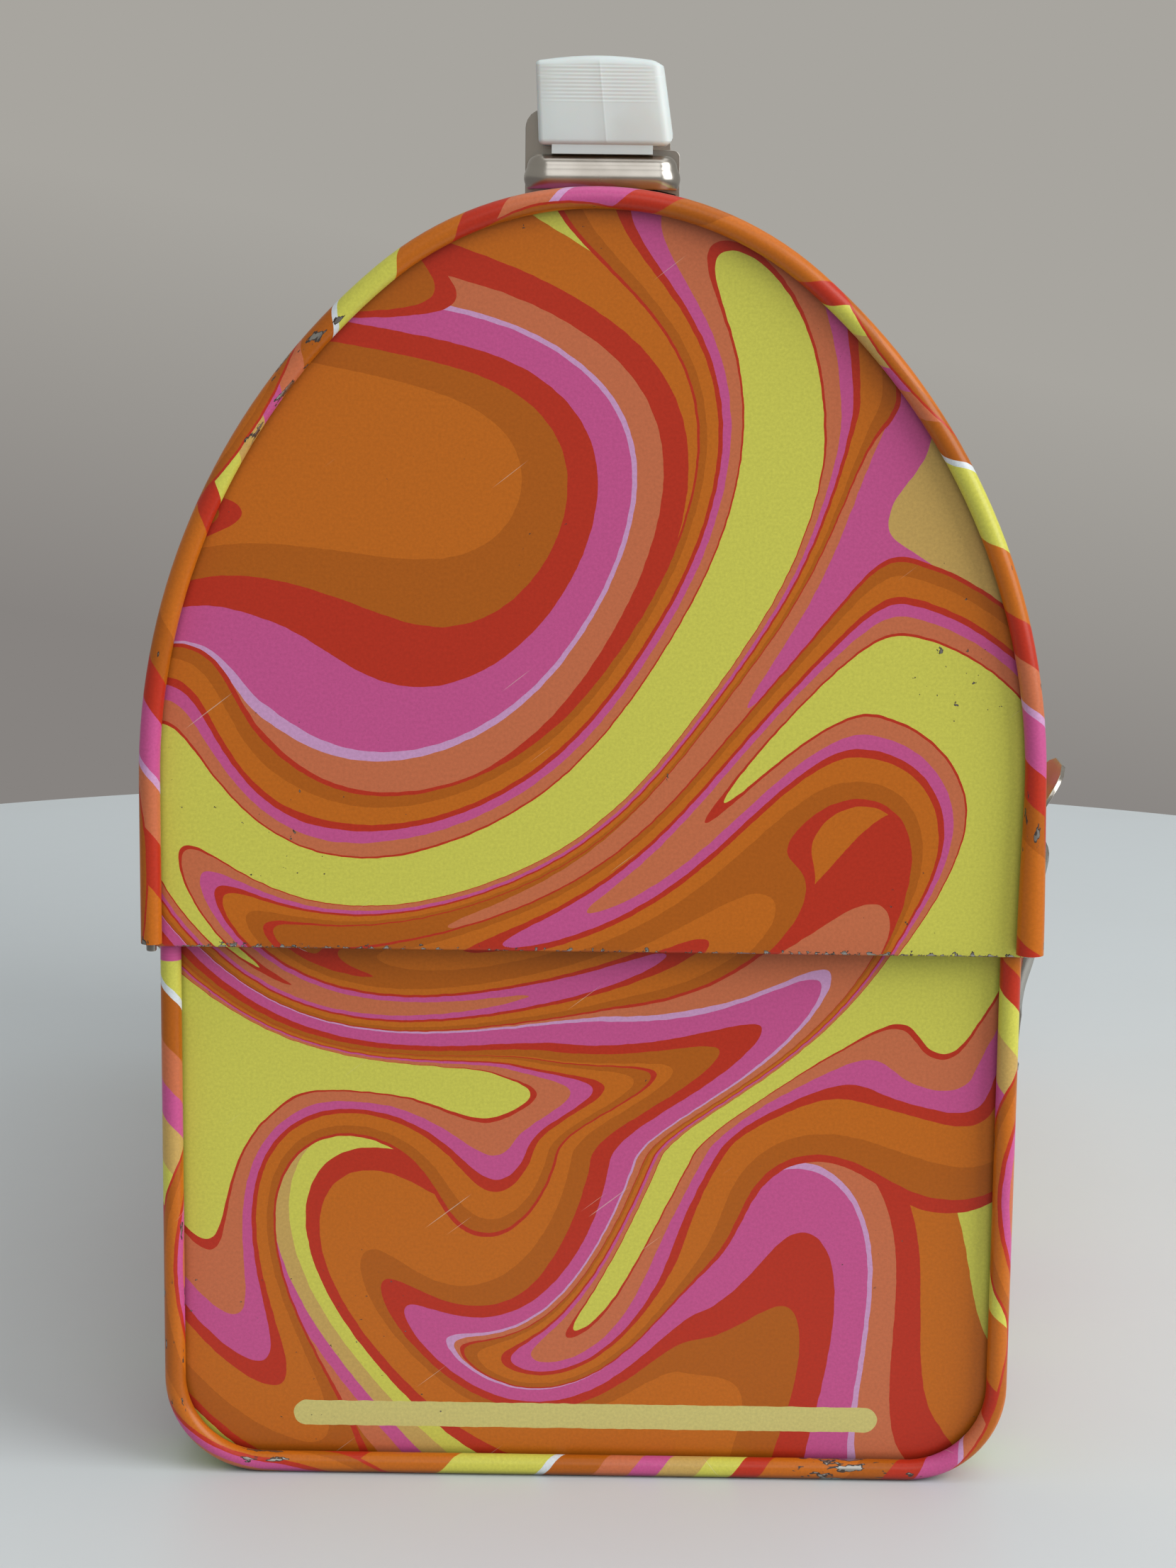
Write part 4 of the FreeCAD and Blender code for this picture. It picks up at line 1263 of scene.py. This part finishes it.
@dataclass
class Hasp:
    """A latch's hasp: a strip with turned edges that rolls round its pin and flares into a rounded tab.

    line is its outer face in millimetres out from the pin and up.
    """

    end: End
    finish: bpy.types.Material
    sheet: float = 0.6
    half_width: float = 8.0
    tip_round: float = 5.0
    turned_edge: float = 1.3
    edge_span: Pair = (7.0, 31.0)
    knuckle_radius: float = 1.5
    knuckle_width: float = 7.0
    line: Tuple[Pair, ...] = (
        (1.5, 1.9), (1.55, 4.0), (2.2, 10.0), (3.6, 15.5), (3.95, 23.0), (4.9, 29.2), (3.2, 33.0),
        (4.0, 35.4), (7.2, 40.4),
    )

    def section(self, station: Station, length: float) -> List[Point]:
        """Cut across the strip.

        Args:
            station: Place on the strip's line.
            length: The line's length.

        Returns:
            A closed loop of points, measured from the pin's middle.
        """
        left = length - station.run
        width = self.half_width
        if left < self.tip_round:
            width += math.sqrt(self.tip_round ** 2 - (self.tip_round - left) ** 2) - self.tip_round
        low, high = self.edge_span
        rise = max(0.0, min(1.0, (station.place[1] - low) / (high - low)))
        turned = self.turned_edge * math.sin(math.pi * rise) ** 0.5
        spread = [step / 12 for step in range(-12, 13)]
        edges = [(part * width, turned * max(0.0, abs(part) * 8 - 7) ** 2) for part in spread]
        outer = [(x, *station.at(depth)) for x, depth in edges]
        inner = [(x, *station.at(depth + self.sheet)) for x, depth in edges]
        return outer + inner[::-1]

    def build(self) -> bpy.types.Object:
        """Carry the section up the line and add the knuckle with its tongue.

        Returns:
            The hasp.
        """
        side = self.end.name.lower()
        low, high = box_of("latch_pin_" + side)
        middle = (low + high) / 2
        stations = smooth_line(self.line, 6)
        draft = Draft()
        draft.skin([self.section(station, stations[-1].run) for station in stations])
        half, radius = self.knuckle_width / 2, self.knuckle_radius
        draft.box((-half, radius - self.sheet, 0.0), (half, radius, 2 * radius))
        turns = [math.radians(15 * step) for step in range(24)]
        round_pin = [(radius * math.cos(turn), radius * math.sin(turn)) for turn in turns]
        draft.skin([[(x, out, up) for out, up in round_pin] for x in (-half, half)])
        draft.points = [(middle.x + x, middle.y - out, middle.z + up) for x, out, up in draft.points]
        piece = draft.finish("hasp_" + side, [self.finish])
        round_edges(piece, 0.14, 50.0)
        return settle(piece, "hasp_" + side, "plated_steel", "latch_hasp_" + side)


@dataclass
class Fittings:
    """The stamped, drawn and riveted metal that keeps its solid shape, with worn edges."""

    edge: float = 0.14
    sharp: float = 38.0
    redrawn: Tuple[str, ...] = (
        "handle_bracket_left", "handle_bracket_right", "latch_hasp_left", "latch_hasp_right")

    def dress(self) -> None:
        """Give every solid that shows its finish, and round its edges or its rivet heads."""
        plated = NICKEL.make()
        for end in End:
            HandleLoop(end, plated).build()
            Hasp(end, plated).build()
        wire = DRAWN_WIRE.make()
        finishes = {
            "plated_steel": plated, "rivet_steel": RIVET_STEEL.make(), "seam_wire": wire, "bail_wire": wire,
        }
        for subpart in frame["record"]["subparts"]:
            node, slot = subpart["node"], subpart["material_slot"]
            if slot not in finishes or node in self.redrawn:
                continue
            piece = frame["nodes"][node]
            piece.data.materials.clear()
            piece.data.materials.append(finishes[slot])
            piece.data.polygons.foreach_set("use_smooth", [True] * len(piece.data.polygons))
            weld = piece.modifiers.new("weld", "WELD")
            weld.merge_threshold = 0.001 * MM
            if slot == "rivet_steel":
                piece.modifiers.new("dome", "SUBSURF").render_levels = 2
            else:
                round_edges(piece, self.edge, self.sharp)
            LOG.info("%s dressed as %s", node, slot)


@dataclass(frozen=True)
class Lamp:
    """A soft square lamp: its place and size in millimetres, and its power in watts."""

    name: str
    place: Tuple[float, float, float]
    size: float
    power: float


@dataclass
class Studio:
    """A pale round table in front of a grey wall, under soft lamps, seen from the box's end."""

    table_radius: float = 330.0
    table_middle: float = 97.0
    table_thickness: float = 20.0
    wall_low: str = "#878380"
    wall_high: str = "#a8a59f"
    wall_slope: Tuple[float, float, float] = (0.0, -0.2, 1.0)
    wall_range: Pair = (-0.155, -0.02)
    room_light: str = "#acb1b5"
    room_strength: float = 1.0
    image_height: float = 2212.0
    focal_pixels: float = 4600.0
    camera_place: Tuple[float, float, float] = (-517.2, -3.2, 163.4)
    camera_yaw: float = 0.524
    camera_pitch: float = 9.839
    camera_roll: float = 0.637
    lamps: Tuple[Lamp, ...] = (
        Lamp("window", (-550, -950, 600), 900, 11.0),
        Lamp("front_fill", (-1150, -150, 880), 800, 2.6),
        Lamp("ceiling", (0, -200, 1300), 1200, 4.0),
    )

    def table(self) -> None:
        """Make the table top."""
        bpy.ops.mesh.primitive_cylinder_add(
            vertices=256, radius=self.table_radius * MM, depth=self.table_thickness * MM,
            location=(self.table_middle * MM, 0, -self.table_thickness / 2 * MM),
        )
        top = bpy.context.object
        top.name = "table_top"
        top.data.materials.append(TABLE_PAINT.make())

    def room(self) -> None:
        """Light the room evenly, with a grey wall that darkens towards the table."""
        world = bpy.data.worlds.new("room")
        bpy.context.scene.world = world
        world.use_nodes = True
        tree = world.node_tree
        look = add_node(tree, "ShaderNodeTexCoord").outputs["Generated"]
        height = add_node(
            tree, "ShaderNodeVectorMath", {0: look, 1: self.wall_slope}, operation="DOT_PRODUCT"
        )
        fade = add_node(
            tree, "ShaderNodeMapRange",
            {"Value": height.outputs["Value"], "From Min": self.wall_range[0],
             "From Max": self.wall_range[1]},
        )
        wall = add_node(
            tree, "ShaderNodeMix",
            {"Factor": fade.outputs["Result"], "A": linear(self.wall_low), "B": linear(self.wall_high)},
            data_type="RGBA",
        )
        path = add_node(tree, "ShaderNodeLightPath")
        mirrored = add_node(
            tree, "ShaderNodeMath", {0: path.outputs["Is Camera Ray"], 1: path.outputs["Is Glossy Ray"]},
            operation="ADD",
        )
        seen = add_node(
            tree, "ShaderNodeMath", {0: mirrored.outputs[0], 1: path.outputs["Is Transmission Ray"]},
            operation="ADD", use_clamp=True,
        )
        colour = add_node(
            tree, "ShaderNodeMix",
            {"Factor": seen.outputs[0], "A": linear(self.room_light), "B": wall.outputs["Result"]},
            data_type="RGBA",
        )
        background = tree.nodes["Background"]
        tree.links.new(colour.outputs["Result"], background.inputs["Color"])
        background.inputs["Strength"].default_value = self.room_strength

    def hang(self, lamp: Lamp) -> None:
        """Hang one lamp, turned to the box.

        Args:
            lamp: The lamp.
        """
        light = bpy.data.lights.new(lamp.name, "AREA")
        light.size = lamp.size * MM
        light.energy = lamp.power
        holder = bpy.data.objects.new(lamp.name, light)
        holder.location = Vector(lamp.place) * MM
        aim = Vector((0, 0, 90)) * MM - holder.location
        holder.rotation_mode = "QUATERNION"
        holder.rotation_quaternion = aim.to_track_quat("-Z", "Y")
        bpy.context.scene.collection.objects.link(holder)

    def camera(self) -> None:
        """Stand the camera where the photograph was taken from."""
        yaw, pitch, roll = map(math.radians, (self.camera_yaw, self.camera_pitch, self.camera_roll))
        forward = Vector((
            math.cos(pitch) * math.cos(yaw), math.cos(pitch) * math.sin(yaw), -math.sin(pitch)
        ))
        level = forward.cross(Vector((0, 0, 1))).normalized()
        upright = level.cross(forward)
        right = math.cos(roll) * level + math.sin(roll) * upright
        up = math.cos(roll) * upright - math.sin(roll) * level
        lens = bpy.data.cameras.new("camera")
        lens.sensor_width = 36.0
        lens.lens = lens.sensor_width * self.focal_pixels / self.image_height
        lens.clip_start = 0.01
        holder = bpy.data.objects.new("camera", lens)
        holder.matrix_world = Matrix.Translation(Vector(self.camera_place) * MM) @ Matrix(
            (right, up, -forward)).transposed().to_4x4()
        bpy.context.scene.collection.objects.link(holder)
        bpy.context.scene.camera = holder

    def build(self) -> None:
        """Set up the table, the light, the camera and the plain view transform."""
        self.table()
        self.room()
        for lamp in self.lamps:
            self.hang(lamp)
        self.camera()
        bpy.context.scene.view_settings.view_transform = "Standard"


def main() -> None:
    """Build and dress the lunch box and its studio."""
    logging.basicConfig(level=logging.INFO, format="%(message)s")
    LunchBoxSheets().build()
    Fittings().dress()
    Grip().build()
    Studio().build()


if __name__ == "__main__":
    main()
